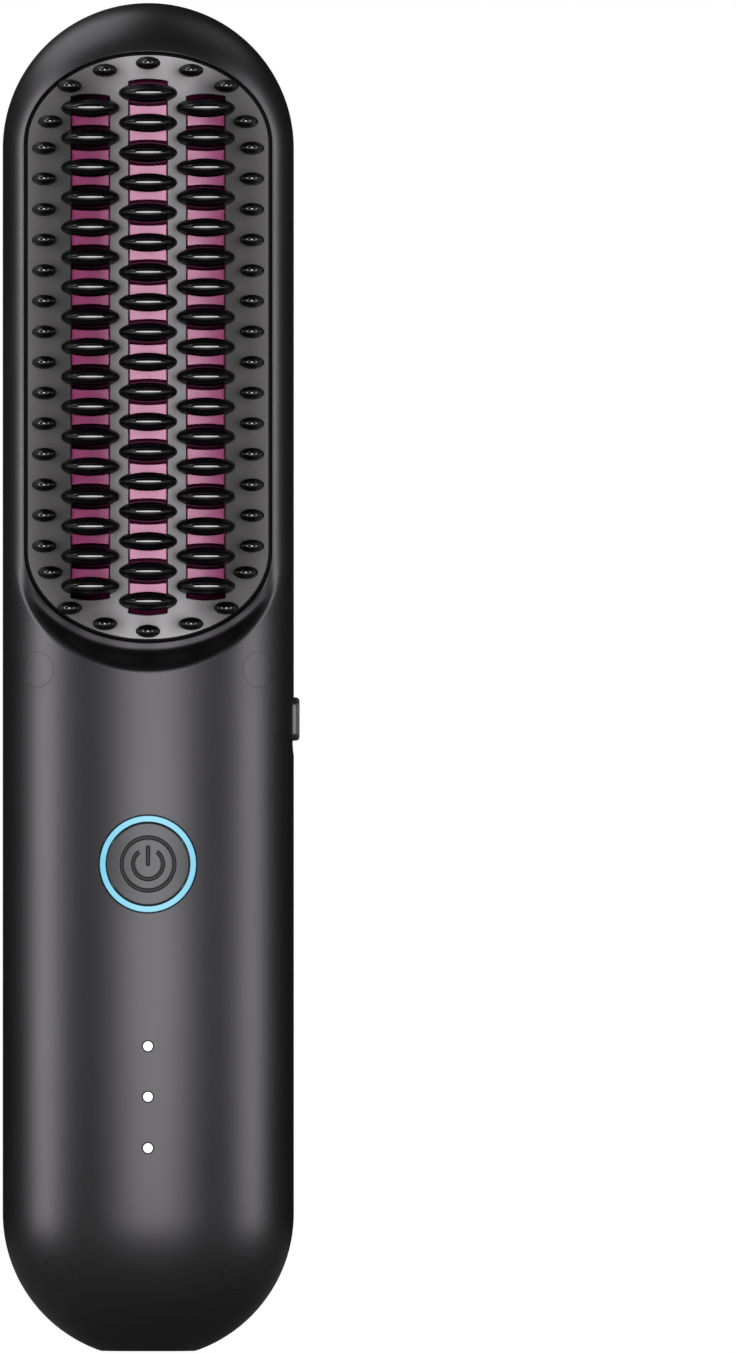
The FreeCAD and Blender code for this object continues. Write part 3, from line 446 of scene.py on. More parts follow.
def closed_lengthways(grid):
    """Grid whose first and last rows are drawn together to their middles, to close its ends."""
    ends = grid[[0, -1]]
    ends = 0 * ends + ends.mean(axis=1, keepdims=True)
    return np.concatenate([ends[:1], grid, ends[1:]])


bar_paint, link_bar, bar_place = finish("lacquered_magenta", IOR=1.87)
bar_x = bar_place.axis(0)
bar_over = (0.0 - bar_place.axis(1)) + bar_x * bar_x / (2 * crown_radius) - plate_height
bar_fin = 1.0 - bar_over.below(shade_start, shade_soft)
bar_grain = bar_place.noise(1.6, 3.0)
bar_side = 1.0 - abs(bar_x).below(column_step / 2, 0.01)
bar_row = (bar_place.axis(2) - head_centre) / tooth_pitch
bar_near = bar_x.maths("WRAP", bar_row + 0.5 - bar_side * 0.5, 0.5, -0.5) * tooth_pitch
bar_across = (abs(bar_x) - bar_side * column_step) / tooth_half_width
bar_round = bar_across.span(bar_near / root_half_thick)
# Painted highlight: a pale line round each fin's root.
bar_rim_highlight = abs(bar_round - rim_size).below(rim_half, rim_soft) * bar_fin
# Painted shade: the strips turn dark plum past their last teeth.
bar_end_shade = 1.0 - (abs(bar_row) + bar_side * 0.5).below(last_row, 0.05)
bar_strip = bar_grain.mix(magenta, magenta_light)
# Painted shade: the fins below the blades are dark plum; the blades above keep their own purple.
bar_dark = bar_over.below(blade_start, blade_soft).mix(purple, bar_rim_highlight.mix(root_shade_plum, rim_highlight_plum))
bar_bare_and_shaded = bar_fin.most(bar_end_shade)
link_bar(Base_Color=bar_bare_and_shaded.mix(bar_strip, bar_dark), Normal=bar_place.noise(4.0).bump(0.4, 0.01),
         Metallic=bar_bare_and_shaded * (bare_metal - lacquered_metal) + lacquered_metal,
         Roughness=bar_grain * 0.08 + bar_bare_and_shaded * 0.06 + 0.18)
for column, (middle, count) in column_places.items():
    grids = [strip_form(middle, count)]
    for number, level in enumerate(tooth_levels(count)):
        grids.append(closed_lengthways(fin_form(middle, level, number % 2 == 1)))
    heater_bar = make_piece("heater_strip_" + column, grids, bar_paint)
    fit(heater_bar, "housing", "magenta_metal", "heater_bar_" + column)

# Tooth combs: glossy black heat-proof caps that arch over the fins, their legs joined by two
# rails under the plate. They keep the hot metal off the scalp.
tooth_half_thick, tooth_tip = 1.12, 26.7
arch_wide, arch_tall, arch_thin = 4.4, 2.6, 3.4  # powers of the arch's width, height, edge
slim_height = 12.0  # a leg thins over this height above the plate
rail_inner, rail_outer = 2.95, 4.15
plate_thickness, rail_thickness = 1.5, 1.2
shoulder_drop, shoulder_soft = 3.0, 1.0  # where the dull part of a tip ends
jet, jet_light = (0.002, 0.002, 0.0022, 1), (0.004, 0.004, 0.0042, 1)


def smooth(value):
    """Soft step from 0 to 1."""
    value = np.clip(value, 0, 1)
    return value * value * (3 - 2 * value)


def tooth_form(middle, level):
    """Arch seen along the brush: at each width a closed section from the leg's root, or from
    the fin's top between the legs, up to the arch's outline, its thickness closing there."""
    step = strip_half_width
    spread = tooth_half_width * np.sin(np.linspace(-np.pi / 2, np.pi / 2, 23))
    x = np.sort(np.concatenate([spread, [-step, -step, step, step]]))[None, :]
    between = np.abs(x) < step
    between[0, np.flatnonzero(x[0] == -step)[1]] = True
    between[0, np.flatnonzero(x[0] == step)[0]] = True
    root = crown(abs(middle) + tooth_half_width) - plate_thickness - rail_thickness
    low = np.where(between, fin_top, root)
    ease = np.sin(np.linspace(0, np.pi / 2, 15))[:, None]
    arch = (1 - (np.abs(x) / tooth_half_width) ** arch_wide) ** (1 / arch_tall)
    high = fin_top + arch * (tooth_tip - fin_top)
    front = low + (high - low) * ease
    up = np.clip((front - fin_top) / (tooth_tip - fin_top), 0, 1)
    half_wide = np.maximum(tooth_half_width * (1 - up ** arch_tall) ** (1 / arch_wide), 1e-6)
    slim = smooth((front - plate_height) / slim_height)
    thick = root_half_thick + (tooth_half_thick - root_half_thick) * slim
    half = oval_side(x, half_wide, thick * np.sqrt(1 - up ** arch_thin))
    half[-1] = 0
    return two_sided(x + middle, front, level, half)


def rail_form(middle, count, side):
    """Rail of the comb under the plate, a flat bar along one side of the slot."""
    x = middle + side * np.array([rail_inner, rail_outer, rail_outer, rail_inner])
    front = crown(x) - plate_thickness - np.array([rail_thickness, rail_thickness, 0, 0])
    return upright_bar(x, front, middle, rail_outer, count)


def tip_paint(name, tip, worn, dull):
    """Black plastic, polished over the last part of a tip's height, dull round the tip's
    shoulder and satin below it."""
    made, link, place = finish(name, IOR=1.45, Coat_Roughness=0.11, Coat_IOR=2.0)
    cloud = place.noise(0.8, 3.0)
    front = 0.0 - place.axis(1)
    flank = front.below(tip - worn, worn)
    shoulder = flank - front.below(tip - shoulder_drop, shoulder_soft)
    link(Base_Color=cloud.mix(jet, jet_light), Metallic=shoulder * dull,
         Roughness=cloud * 0.04 + flank * 0.28 + 0.14, Coat_Weight=1.0 - flank)
    return made


comb_paint = tip_paint("glossy_black_comb", tooth_tip, worn=0.25, dull=0.4)
for column, (middle, count) in column_places.items():
    grids = [tooth_form(middle, level) for level in tooth_levels(count)]
    grids += [rail_form(middle, count, side) for side in (1, -1)]
    comb = make_piece("tooth_caps_" + column, grids, comb_paint, sharp=50.0)
    fit(comb, "housing", "black_tip", "tooth_comb_" + column)

# Bristle ring: forty-two soft-ended black bristles moulded on one oval ring under the plate's
# edge, with eight pillars that take the carrier's screws.
straight_half = 30.15  # half the straight length of the head's ovals
seam_half_width, seam_rise = 18.06, 13.35
bristle_half_width, bristle_half_thick = 1.7, 0.85
bristle_tip, bristle_lean = 25.2, math.radians(40)
bristle_root, bristle_straight = 1.03, 2.0  # size of the root, its height over the plate
bristle_column, bristle_pitch, bristles_a_side = 15.4, 4.537, 14
bristle_inset, bristle_end_step = 0.9, 3.93
bristle_reach = 42.1
end_bristles = [(0.0, 1.0), (0.415, 0.974), (0.755, 0.919)]
pillar_column, pillar_shares = 14.6, (-0.70, -0.24, 0.24, 0.70)
pillar_radius, pillar_floor = 1.7, 2.6
ring_outer_inset, ring_inner_inset = 0.3, 2.6


def bristle_spots():
    """Places across and up the head: two straight columns and an arc at each end."""
    spots = []
    side_reach = (bristles_a_side - 1) / 2 * bristle_pitch
    end_reach = side_reach + bristle_end_step
    for side in (1, -1):
        spots += [(side * bristle_column, head_centre + level)
                  for level in np.linspace(-side_reach, side_reach, bristles_a_side)]
        spots += [(side * (bristle_column - bristle_inset), head_centre + end * end_reach)
                  for end in (1, -1)]
        for across, up in end_bristles:
            spots += [(sign * across * bristle_column, head_centre + side * up * bristle_reach)
                      for sign in ((1, -1) if across else (1,))]
    return spots


def full_turn(count):
    """Angles of evenly spaced points round a circle."""
    return np.arange(count) / count * 2 * np.pi


def bristle_form(x, z):
    """Bristle: an oval section from its root, straight, then a blunt cone: its slope grows to
    the full lean over the inner half of the tip and stays there over the outer half."""
    turn = full_turn(24)
    root = crown(np.abs(x)) - plate_thickness - rail_thickness / 2
    tip = np.linspace(1, 0, 11)
    nose = -np.log(np.cos(2 * bristle_lean * np.minimum(tip, 0.5))) / (2 * bristle_lean)
    drop = bristle_half_width * (nose + math.tan(bristle_lean) * np.maximum(tip - 0.5, 0))
    front = np.concatenate([[root, root, plate_height + bristle_straight], bristle_tip - drop])
    size = np.concatenate([[0, bristle_root, bristle_root], tip])[:, None]
    return stack(x + bristle_half_width * size * np.cos(turn), -front[:, None],
                 z + bristle_half_thick * size * np.sin(turn))


def seam_oval(run, grow):
    """Point on the head's oval grown by an amount, with the run of a long oval."""
    turn, rise = long_oval(run)
    return ((seam_half_width + grow) * np.cos(turn),
            head_centre + straight_half * (2 * rise - 1) + (seam_rise + grow) * np.sin(turn))


def ring_form():
    """Flat ring under the plate: a rectangle carried round the oval."""
    run = np.arange(256)[None, :] / 64
    inset = as_column(ring_outer_inset, ring_outer_inset, ring_inner_inset, ring_inner_inset)
    depth = as_column(0, rail_thickness, rail_thickness, 0) + plate_thickness
    x, z = seam_oval(run, -inset)
    return stack(x, depth - crown(x), z)


def round_bar(radius, count, low, high):
    """Closed round bar from low to high."""
    turn = full_turn(count)
    return bar(radius * np.cos(turn), radius * np.sin(turn), low, high)


def pillar_form(x, z):
    top = float(crown(abs(x) + pillar_radius)) - plate_thickness
    across, along, front = round_bar(pillar_radius, 20, pillar_floor, top)
    return stack(x + across, -front, z + along)


bristle_paint = tip_paint("black_bristle", bristle_tip, worn=0.2, dull=0.6)
grids = [bristle_form(x, z) for x, z in bristle_spots()]
grids += [pillar_form(side * pillar_column, head_centre + share * straight_half)
          for side in (1, -1) for share in pillar_shares]
grids.append(ring_form())
bristle_ring = make_piece("outer_bristles", grids, bristle_paint, sharp=50.0, closed=True)
fit(bristle_ring, "housing", "black_bristle", "bristle_ring")

# Brush plate: a crowned oval sheet in satin grey, slotted for the strips and the caps' legs
# and pierced for the bristles; a thin black gasket fills the seam round it.
plate_dark, plate_light = (0.133, 0.128, 0.131, 1), (0.156, 0.150, 0.153, 1)


def smooth_copy(node, name, paint, sharp=30.0):
    """A frame node's own triangles with their corners joined, so that its rounds shade smooth."""
    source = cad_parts[node].data
    points = np.empty(len(source.vertices) * 3)
    source.vertices.foreach_get("co", points)
    corners = np.empty(len(source.loops), np.int32)
    source.loops.foreach_get("vertex_index", corners)
    piece = add_object(name, points.reshape(-1, 3), corners.reshape(-1, 3), paint)
    settle(piece.data, sharp)
    return piece


plate_paint, link_plate, plate_place = finish(
    "satin_grey_plate", IOR=1.85, Specular_Tint=(0.99, 0.955, 0.985, 1))
plate_cloud, plate_grain, plate_bump = satin(plate_place, 0.08, 4.0, 0.4, 0.008)
link_plate(Base_Color=plate_cloud.mix(plate_dark, plate_light), Normal=plate_bump,
           Roughness=plate_cloud * 0.06 + plate_grain * 0.05 + 0.19)
brush_plate = smooth_copy("brush_plate", "satin_brush_plate", plate_paint)
fit(brush_plate, "housing", "grey_plate", "brush_plate")
seal_paint = moulded("black_seal", (0.001,) * 3, (0.002,) * 3, 0.6, IOR=1.2)
repaint("plate_gasket", seal_paint)

# Front shell: the front half in the same satin charcoal plastic. Its head is let in with a
# low rim round the plate and a scoop that swells softly into the handle.
seam_half = 0.30  # half the gap between the plate and the rim
rim_height, rim_width, rim_slope, rim_round = 0.5, 0.9, 0.03, 0.14
rim_wall, lip_width, lip_top_width = 0.9, 3.5, 7.4
scoop_start, scoop_ease = 118.0, 10.0  # level under which the scoop takes over from the lip
scoop_climb, scoop_bend = 2.55, 1.5
shoulder_blend = 2.0
groove_play = 0.1  # room round the rear shell's tongue
rim_side_steps, rim_top_steps, rim_foot_steps = 84, 120, 230
near_reach, near_share = 9.0, 0.55  # the fine rings at the rim, in mm or of the way out
near_rings = np.concatenate([np.linspace(0, 0.04, 6), np.linspace(0.06, 1, 34)])
far_rings = np.linspace(0, 1, 64)[1:]
back_rings = np.linspace(0, 1, 26) ** 2
button_level, button_hole = 72.3, 7.36
status_levels, status_hole = (45.3, 37.8, 30.2), 0.90
hole_floor, hole_end = 11.0, 18.0
plug_hole, plug_sink, plug_cut_end = 2.64, 1.0, 6.0
plug_spots = [(16.3, 101.1), (13.4, 11.6)]


def body_front(x, z):
    """Height of the plain body towards the front: a capsule squashed front to back."""
    past = np.maximum(z - top_centre, 0) + np.minimum(z - foot_centre, 0)
    return half_depth * np.sqrt(np.clip(1 - (x ** 2 + past ** 2) / half_width ** 2, 0, 1))


def shell_front(x, z):
    """Height of the shell. Round the head: the plain body, sunk to the rim at the seam and let
    go over the lip. Low down: the softer lower of the plain body and the scoop's flare, which
    rises from the rim along a hyperbola with the distance from the seam."""
    past = np.maximum(np.abs(z - head_centre) - straight_half, 0)
    size = np.maximum(np.hypot(x / seam_half_width, past / seam_rise), 1e-6)
    slope = np.hypot(x / seam_half_width ** 2, past / seam_rise ** 2) / size
    away = (size - 1) / np.maximum(slope, 1e-6)
    seam_x = np.clip(x / size, -seam_half_width, seam_half_width)
    rim = rim_height + rim_slope * np.clip((away - seam_half) / rim_width, 0, 1)
    swell = np.hypot(np.maximum(away - seam_half - rim_width, 0), scoop_bend) - scoop_bend
    flare = crown(seam_x) + rim + scoop_climb * swell
    plain = body_front(x, z)
    lean = np.clip(0.5 + 0.5 * (flare - plain) / shoulder_blend, 0, 1)
    scooped = flare * (1 - lean) + plain * lean - shoulder_blend * lean * (1 - lean)
    seam_z = z + np.sign(z - head_centre) * past * (1 / size - 1)
    sunk = body_front(seam_x, seam_z) - crown(seam_x) - rim_height
    top = smooth((z - head_centre - straight_half) / seam_rise)
    lip = lip_width + (lip_top_width - lip_width) * top
    lipped = plain - sunk * (1 - np.clip((away - seam_half) / lip, 0, 1)) ** 2
    low = smooth((scoop_start - z) / scoop_ease)
    edge = np.clip(1 - (away - seam_half) / rim_round, 0, 1)
    return lipped * (1 - low) + scooped * low - rim_round * (1 - np.sqrt(1 - edge ** 2))


def front_form():
    """Rings from the rim over the outer skin to the edge, the groove, and back inside."""
    sides = np.arange(rim_side_steps) / rim_side_steps
    ends = np.arange(rim_top_steps) / rim_top_steps
    low = np.arange(rim_foot_steps) / rim_foot_steps
    seam_run = np.concatenate([sides, 1 + ends, 2 + sides, 3 + low])[None, :]
    start = (head_centre - straight_half - foot_centre) / (top_centre - foot_centre)
    side_run = start * (top_centre - foot_centre)
    foot_run = np.pi * half_width
    low_run = 2 * side_run + foot_run
    fan = np.interp(low * low_run, [0, side_run, side_run + foot_run, low_run],
                    [3 - start, 3, 4, 4 + start])
    upper = sides * (1 - start)
    body_run = np.concatenate([start + upper, 1 + ends, 2 + upper, fan])[None, :]
    rim_x, rim_z = seam_oval(seam_run, seam_half)
    edge_x, _, edge_z = on_half(body_run, 0.0, 0.0)
    uncut_z = foot_centre + half_width * np.sin(long_oval(body_run)[0])
    edge_z = np.where(edge_z <= 0, uncut_z, edge_z)
    length = np.hypot(edge_x - rim_x, edge_z - rim_z)
    near = np.minimum(near_reach, near_share * length) / length
    far = 1 - (1 - near) * (1 - far_rings[:, None]) ** 2
    share = np.concatenate([near * near_rings[:, None], far])
    x = rim_x + (edge_x - rim_x) * share
    z = rim_z + (edge_z - rim_z) * share
    front = np.maximum(shell_front(x, z), parting + edge_break)
    groove_inset, groove_depth = tongue_inset - groove_play, tongue_height + groove_play
    rings = [(x, -front, np.maximum(z, 0)),
             level_ring(body_run, edge_break, -parting),
             level_ring(body_run, groove_inset, -parting),
             level_ring(body_run, groove_inset, -groove_depth),
             level_ring(body_run, wall, -groove_depth)]
    in_x, _, in_z = on_half(body_run, 0.0, wall)
    low_x, low_z = seam_oval(seam_run, seam_half + rim_wall)
    low_front = np.maximum(crown(rim_x) - plate_thickness - 2 * wall, 2 * tongue_height)
    x = in_x + (low_x - in_x) * back_rings[:, None]
    z = in_z + (low_z - in_z) * back_rings[:, None]
    hollow = body_front(x * half_width / (half_width - wall), z)
    inner = np.minimum((1 - wall / half_depth) * hollow, shell_front(x, z) - wall)
    rings += [(x, -np.maximum(inner, groove_depth), z),
              (low_x, -low_front, low_z), (rim_x, -low_front, rim_z)]
    return np.concatenate([stack(*ring) for ring in rings])


def round_cutter(name, radius, z):
    """Straight round cutter along the front direction, on the middle line."""
    across, along, front = round_bar(radius, 72, hole_floor, hole_end)
    return make_piece(name, [stack(across, -front, z + along)], shell_paint)


def leaning_cutter(name, radius, x, z):
    """Round cutter square to the body's surface at a spot, sunk by a plug's thickness."""
    front = float(body_front(np.array(x), np.array(z)))
    lean = np.array([x / half_width ** 2, -front / half_depth ** 2,
                     min(z - foot_centre, 0) / half_width ** 2])
    lean /= np.linalg.norm(lean)
    first = np.cross(lean, (0, 0, 1))
    first /= np.linalg.norm(first)
    second = np.cross(lean, first)
    across, along, out = round_bar(radius, 48, -plug_sink, plug_cut_end)
    spread = across[..., None] * first + along[..., None] * second
    spread = spread + (out + 0 * across)[..., None] * lean
    return make_piece(name, [np.array([x, -front, z]) + spread], shell_paint)


front_shell = make_piece("front_shell_skin", [front_form()], shell_paint, closed=True)
cutters = [slot_cutter(), mouth_cutter(), round_cutter("button_cutter", button_hole, button_level)]
cutters += [round_cutter("status_cutter", status_hole, level) for level in status_levels]
cutters += [leaning_cutter("plug_cutter", plug_hole, side * x, z)
            for x, z in plug_spots for side in (1, -1)]
cut_away(front_shell, cutters)
fit(front_shell, "housing", "charcoal_shell", "front_shell")

# Screw plugs: four flush round plugs in the shell's own plastic that hide the case screws.
# They are pressed in, so that only a hair-thin circle shows round each.
plugs = smooth_copy("screw_plugs", "flush_screw_plugs", shell_paint)
fit(plugs, "housing", "charcoal_shell", "screw_plugs")

# Light ring: a clear plastic ring let in flush round the button and lit pale blue from chips
# on the board. Its inner and outer edges stay unlit, and their darker blue is painted shade of the
# gaps round the ring.
ring_inner, ring_outer, ring_underside, ring_round = 6.18, 7.32, 12.6, 0.08
ring_deep, face_rings = 9.0, 7  # a sink past the underside, rings over the face
bright_middle, bright_half, bright_soft = 6.70, 0.40, 0.06
ring_dull = 0.7  # how metallic the unlit edges are, which keeps them dark


def turned(radius, front_of):
    """Turned form about the button's axis: each ring of a profile at a radius, its height
    given by a function of the place across and up."""
    turn = full_turn(160)
    x = radius[:, None] * np.cos(turn)
    z = button_level + radius[:, None] * np.sin(turn)
    return stack(x, -front_of(x, z), z)


def lit_ring_form():
    """Ring: wall, a softly broken edge, the face flush with the body, and back underneath."""
    face = np.linspace(ring_inner + ring_round, ring_outer - ring_round, face_rings)
    radius = np.concatenate([[ring_inner, ring_inner], face, [ring_outer, ring_outer]])
    sink = as_column(ring_deep, ring_round, *[0] * face_rings, ring_round, ring_deep)
    return turned(radius, lambda x, z: np.maximum(body_front(x, z) - sink, ring_underside))


ring_paint, link_ring, ring_place = finish("lit_blue_ring", Roughness=0.35, Emission_Strength=1.0)
ring_glow = ring_place.noise(0.5, 2.0)
ring_span = ring_place.axis(0).span(ring_place.axis(2) - button_level)
ring_lit = abs(ring_span - bright_middle).below(bright_half, bright_soft)
ring_light = ring_glow.mix((0.18, 0.55, 0.72, 1), (0.24, 0.62, 0.79, 1))
# Painted shade: the unlit edges take a near black blue.
link_ring(Base_Color=ring_lit.mix((0.001, 0.012, 0.03, 1), (0.03, 0.07, 0.09, 1)),
          Emission_Color=ring_lit.mix((0.0, 0.004, 0.012, 1), ring_light),
          Metallic=ring_dull - ring_lit * ring_dull)
light_ring = make_piece("lit_button_ring", [lit_ring_form()], ring_paint, closed=True)
fit(light_ring, "housing", "light_ring", "button_light_ring")

# Power button: a cap flush with the handle in its own satin plastic, with a stem to the
# switch; the standby symbol in its ring is sunk into the face and filled dark.
button_radius, button_round = 6.1, 0.2
button_rings, round_rings, round_start = 88, 5, 0.3  # over the face and its rounded edge
button_skirt, button_roof, button_bore, stem_radius, stem_end = 12.0, 12.9, 5.0, 2.0, 12.35
symbol_depth, symbol_slope, symbol_soft = 0.07, 0.12, 0.08
symbol_line, symbol_line_half = 0.07, 0.09  # darkest line, just inside a stroke's edge
circle_radius, circle_half = 3.93, 0.27
arc_radius, arc_half, arc_gap = 2.24, 0.27, math.radians(38.0)
stroke_low, stroke_high, stroke_half = 0.0, 2.45, 0.27
far_off = 9.0  # put on the distance where the arc is open


def symbol_field(x, z):
    """Distance past the edge of the nearest stroke of the standby symbol, under 0 inside."""
    radius = np.hypot(x, z)
    circle = np.abs(radius - circle_radius) - circle_half
    arc = np.abs(radius - arc_radius) - arc_half
    arc = np.where(np.abs(np.arctan2(x, z)) < arc_gap, far_off, arc)
    past = np.maximum(np.maximum(stroke_low - z, z - stroke_high), 0)
    stroke = np.hypot(x, past) - stroke_half
    return np.minimum(np.minimum(circle, arc), stroke)


def button_front(x, z):
    sunk = smooth(0.5 - symbol_field(x, z - button_level) / symbol_slope)
    return body_front(x, z) - symbol_depth * sunk


def button_form():
    """Cap: the face with the sunk symbol, a rounded edge, the skirt, the bore and the stem."""
    flat_radius = button_radius - button_round
    bend = np.linspace(round_start, np.pi / 2, round_rings)
    radius = np.concatenate([
        np.linspace(0, flat_radius, button_rings), flat_radius + button_round * np.sin(bend),
        [button_radius, button_bore, button_bore, stem_radius, stem_radius, 0]])
    drop = np.concatenate([np.zeros(button_rings), button_round * (1 - np.cos(bend))])
    fixed = np.array([button_skirt, button_skirt, button_roof, button_roof, stem_end, stem_end])

    def front_of(x, z):
        top = len(drop)
        face = button_front(x[:top], z[:top]) - drop[:, None]
        return np.concatenate([face, fixed[:, None] + 0 * x[top:]])

    return turned(radius, front_of)


button_paint, link_button, button_place = finish(
    "satin_button", IOR=1.65, Specular_Tint=(0.985, 0.955, 0.99, 1))
button_x, button_z = button_place.axis(0), button_place.axis(2) - button_level
button_span = button_x.span(button_z)
symbol_circle = abs(button_span - circle_radius) - circle_half
symbol_open = button_x.maths("ARCTAN2", abs(button_x), button_z).below(arc_gap, 0.02)
symbol_arc = abs(button_span - arc_radius) - arc_half + symbol_open * far_off
stroke_past = (stroke_low - button_z).most(button_z - stroke_high).most(0.0)
symbol_stroke = button_x.span(stroke_past) - stroke_half
symbol_past = symbol_circle.least(symbol_arc).least(symbol_stroke)
symbol = symbol_past.below(0.0, symbol_soft)
symbol_edge = abs(symbol_past + symbol_line).below(symbol_line_half, symbol_soft)
button_cloud, button_grain, button_bump = satin(button_place, 0.05, 5.0, 0.35, 0.006)
button_skin = button_cloud.mix((0.020, 0.020, 0.021, 1), (0.026, 0.026, 0.027, 1))
link_button(Base_Color=symbol.mix(button_skin, (0.004, 0.004, 0.004, 1)), Normal=button_bump,
            Metallic=symbol_edge * 0.7,
            Roughness=button_cloud * 0.05 + button_grain * 0.04 + symbol * 0.25 + 0.335)
button = make_piece("power_button_cap", [button_form()], button_paint)
fit(button, "button", "button_cap", "power_button")

# Status lights: three clear plastic pipes moulded on one bar behind the shell, ending in small
# flush white dots that show the chosen heat.
status_radius, status_bright, status_soft = 0.86, 0.71, 0.05
pipe_shares = (0, 1, 1, 0.92, 0.6, 0)  # rings of a pipe, in its radius
pipe_rises = (0, 0, -0.08, 0.0, 0.04, 0.05)  # and their heights over the body
strut_half, strut_front, strut_back, strut_end = 1.5, 12.5, 11.4, 1.8
status_dull = 0.6  # how metallic the unlit rim is, which keeps it dark


def pipe_form(level):
    """Pipe: a round bar from the common bar to a dot with a low dome."""
    turn = full_turn(36)
    radius = as_column(*pipe_shares) * status_radius
    x, z = radius * np.cos(turn), level + radius * np.sin(turn)
    front = body_front(x, z) + as_column(*pipe_rises)
    front[:2] = strut_back
    return stack(x, -front, z)


def square_bar(half_across, half_along, low, high):
    """Closed bar from low to high with a rectangle for its outline."""
    across, along = np.array([1, 1, -1, -1]), np.array([-1, 1, 1, -1])
    return bar(across * half_across, along * half_along, low, high)


def strut_form():
    low, high = min(status_levels) - strut_end, max(status_levels) + strut_end
    middle = (strut_front + strut_back) / 2
    x, front, z = square_bar(strut_half, strut_front - middle, low, high)
    return stack(x, -front - middle, z)


lamp_paint, link_lamp, lamp_place = finish(
    "white_status_lamp", Roughness=0.3, Emission_Strength=1.0)
lamp_glow = lamp_place.noise(1.0, 2.0)
lamp_spans = [lamp_place.axis(0).span(lamp_place.axis(2) - level) for level in status_levels]
lamp_span = lamp_spans[0].least(lamp_spans[1]).least(lamp_spans[2])
lamp_lit = lamp_span.below(status_bright, status_soft)
lamp_light = lamp_glow.mix((0.72, 0.74, 0.78, 1), (0.80, 0.82, 0.85, 1))
link_lamp(Base_Color=lamp_lit.mix((0.004, 0.004, 0.004, 1), (0.60, 0.61, 0.63, 1)),
          Emission_Color=lamp_lit.mix((0.0, 0.0, 0.0, 1), lamp_light),
          Metallic=status_dull - lamp_lit * status_dull)
grids = [pipe_form(level) for level in status_levels] + [strut_form()]
status = make_piece("status_light_pipes", grids, lamp_paint)
fit(status, "housing", "status_light", "status_lights")

# Travel lock: a small black plastic knob in the slot on the side, held by a guide plate inside
# the wall. An open and a shut padlock are printed on its face.
knob_level, knob_span, knob_radius = 93.755, 1.825, 1.4
knob_top, knob_round, knob_hollow, knob_rim = 22.45, 0.55, 0.05, 0.3
guide_outer, guide_inner = 18.7, 17.9
guide_half_length, guide_half_width = 5.8, 3.0
lock_spots = (95.25, 92.26)
lock_line, lock_soft = 0.085, 0.05
box_middle, box_half_high, box_half_wide = 0.25, 0.33, 0.48
hoop_centre, hoop_radius, hoop_shift, hoop_foot = -0.12, 0.36, 0.16, -0.08
hoop_off = 5.0  # put on the distance where the box stands


def knob_form():
    """Knob: a flat-oval bar out of the wall, its outer edge rounded and its face hollowed."""
    bend = np.linspace(0, np.pi / 2, 6)
    shrink = np.concatenate([[knob_radius, 0, 0], knob_round * (1 - np.cos(bend)), [knob_radius]])
    out = np.concatenate([
        [guide_outer, guide_outer, guide_outer + 1],
        knob_top - knob_round + knob_round * np.sin(bend), [knob_top - knob_hollow]])
    rings = []
    for less, x in zip(shrink, out):
        along, across = flat_oval(knob_span, knob_radius - less)
        rings.append(stack(x + 0 * along, across, knob_level + along))
    return np.stack(rings)


def guide_form():
    across, along, x = square_bar(guide_half_width, guide_half_length, guide_inner, guide_outer)
    return stack(x, across, knob_level + along)


knob_paint, link_knob, knob_place = finish("lock_knob_black", IOR=1.62)
knob_y = knob_place.axis(1)
knob_face = 1.0 - knob_place.axis(0).below(knob_top - knob_rim, 0.02)
lock_lines = []
for spot, shift in zip(lock_spots, (hoop_shift, 0.0)):
    knob_z = knob_place.axis(2) - spot
    box = abs(knob_y - box_middle) - box_half_high
    box = box.most(abs(knob_z) - box_half_wide)
    hoop = (knob_y - hoop_centre).least(0.0).span(knob_z - shift)
    hoop = abs(hoop - hoop_radius) + hoop_off - knob_y.below(hoop_foot, 0.02) * hoop_off
    lock_lines.append(abs(box).least(hoop).below(lock_line, lock_soft))
knob_marks = lock_lines[0].most(lock_lines[1]) * knob_face
knob_cloud = knob_place.noise(0.4, 3.0)
knob_skin = knob_cloud.mix((0.010, 0.010, 0.011, 1), (0.014, 0.014, 0.015, 1))
knob_skin = knob_face.mix(knob_skin, (0.040, 0.040, 0.042, 1))
link_knob(Base_Color=knob_marks.mix(knob_skin, (0.002, 0.002, 0.002, 1)),
          Metallic=knob_marks * 0.85, Roughness=knob_cloud * 0.08 + 0.26)
knob = make_piece("travel_lock_knob", [knob_form(), guide_form()], knob_paint)
fit(knob, "slider", "slider_knob", "lock_slider")

# Charging socket: a drawn steel shell with its contact tongue, recessed in the flat foot.
# It is soldered to its board and keeps the frame's solid.
socket_paint = moulded("socket_steel", (0.42, 0.42, 0.44), (0.52, 0.52, 0.54), 0.3, Metallic=1.0)
repaint("charge_socket", socket_paint)

# Stage: a pale floor, white behind, a broad soft box in front and a tall one at each side.
# The studio's walls and ceiling are dark, so that the glossy black parts stay black.
floor_radius, floor_level = 0.14, -0.0002  # metres, as all of the stage
floor_shown, floor_mirrored = 0.93, 0.04  # glow to the camera and in reflections
room_radius, room_low, room_high = 1.6, -0.8, 1.5
world_fill = 0.35  # strength of the white round about as a light
round_steps = 96


def stage_sheet(name, x, y, z, paint):
    """Plain sheet of the studio, a grid of places in metres."""
    grid = stack(x, y, z)
    faces = grid_faces(*grid.shape[:2], closed_columns=False)
    sheet = add_object(name, grid.reshape(-1, 3), faces, paint)
    return sheet


def ray_is(tree, *kinds):
    """1 for rays of any of these kinds and 0 for all others."""
    path = tree.nodes.new("ShaderNodeLightPath")
    found = Flow(tree, path.outputs["Is " + kinds[0] + " Ray"])
    for kind in kinds[1:]:
        found = found.most(Flow(tree, path.outputs["Is " + kind + " Ray"]))
    return found


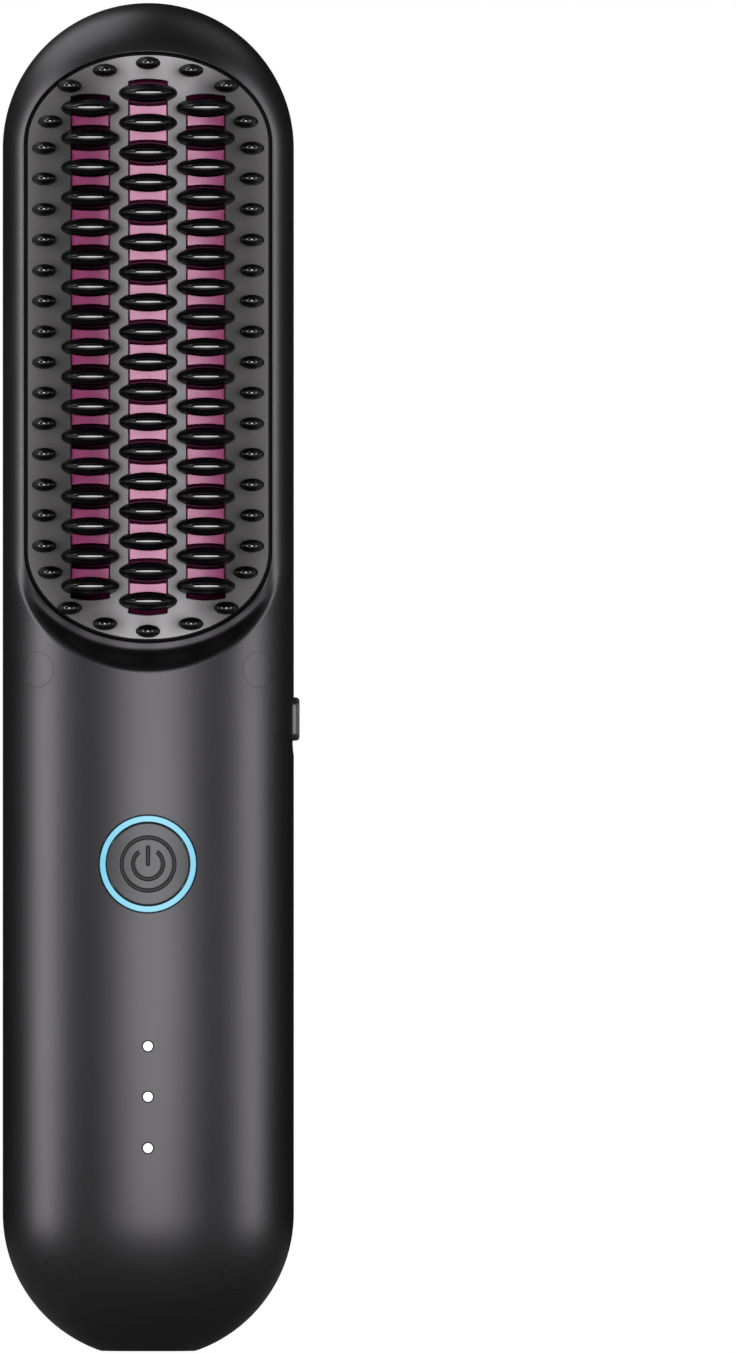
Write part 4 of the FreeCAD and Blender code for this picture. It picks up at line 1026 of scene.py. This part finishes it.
floor_paint, link_floor, floor_place = finish(
    "pale_floor", Base_Color=(0.20, 0.20, 0.20, 1), Roughness=0.9, Emission_Color=(1, 1, 1, 1))
floor_seen = ray_is(floor_place.tree, "Camera", "Transmission")
floor_glossy = ray_is(floor_place.tree, "Glossy")
link_floor(Emission_Strength=floor_seen * floor_shown + floor_glossy * floor_mirrored)
stage_turn = np.arange(round_steps + 1)[None, :] / round_steps * 2 * np.pi
floor_reach = as_column(0.0, floor_radius)
stage_sheet("floor", floor_reach * np.cos(stage_turn), floor_reach * np.sin(stage_turn),
            floor_level + 0 * floor_reach, floor_paint)

wall_paint = finish("dark_wall", Base_Color=(0.002, 0.002, 0.002, 1), Roughness=1.0)[0]
room_reach = as_column(1.0, 1.0, 0.0) * room_radius
room_level = as_column(room_low, room_high, room_high)
room = stage_sheet("dark_room", room_reach * np.sin(stage_turn), room_reach * np.cos(stage_turn),
                   room_level, wall_paint)
room.visible_camera = False

world = bpy.data.worlds.new("studio")
bpy.context.scene.world = world
world.use_nodes = True
world_back = world.node_tree.nodes["Background"]
world_back.inputs["Color"].default_value = (1, 1, 1, 1)
world_seen = ray_is(world.node_tree, "Camera", "Glossy", "Transmission")
world_strength = world_seen * (1.0 - world_fill) + world_fill
world.node_tree.links.new(world_strength.socket, world_back.inputs["Strength"])


def soft_box(name, turn, lift, distance, width, height, power):
    """Area lamp at a turn round the object from the camera's side and a lift, in degrees,
    aimed at its middle. Distance and size are in metres, power in watts."""
    lamp = bpy.data.lights.new(name, "AREA")
    lamp.shape = "RECTANGLE"
    lamp.size, lamp.size_y = width, height
    lamp.energy = power
    box = bpy.data.objects.new(name, lamp)
    turn, lift = math.radians(turn), math.radians(lift)
    aim = np.array([math.sin(turn) * math.cos(lift), -math.cos(turn) * math.cos(lift),
                    math.sin(lift)])
    box.location = (0, 0, 0.1) + aim * distance
    box.rotation_euler = (math.pi / 2 - lift, 0, turn)
    box.visible_camera = False
    bpy.context.scene.collection.objects.link(box)


soft_box("front_box", 2.9, -1.5, 1.3, 0.72, 1.3, 12.9)
soft_box("left_box", -68, 4, 1.0, 0.34, 1.1, 6.4)
soft_box("right_box", 68, 4, 1.0, 0.34, 1.1, 5.3)
soft_box("high_left_box", -108, 58, 1.0, 0.9, 0.8, 3.9)
soft_box("high_right_box", 112, 58, 1.0, 0.6, 0.6, 0.5)

# Camera: level, far back and square to the front, framed as the photograph is. The sensor's
# width has no part in this view; it keeps the turned views from standing too far back.
view_distance = 9.5
frame_height, frame_shift, frame_middle = 0.2009, 0.0326, 0.1
camera_data = bpy.data.cameras.new("camera")
camera_data.sensor_fit = "VERTICAL"
camera_data.sensor_height, camera_data.sensor_width = 36.0, 67.0
camera_data.lens = camera_data.sensor_height * view_distance / frame_height
camera_data.clip_end = 40
camera = bpy.data.objects.new("camera", camera_data)
camera.location = (frame_shift, -view_distance, frame_middle)
camera.rotation_euler = (math.pi / 2, 0, 0)
bpy.context.scene.collection.objects.link(camera)
bpy.context.scene.camera = camera
bpy.context.scene.view_settings.view_transform = "Standard"
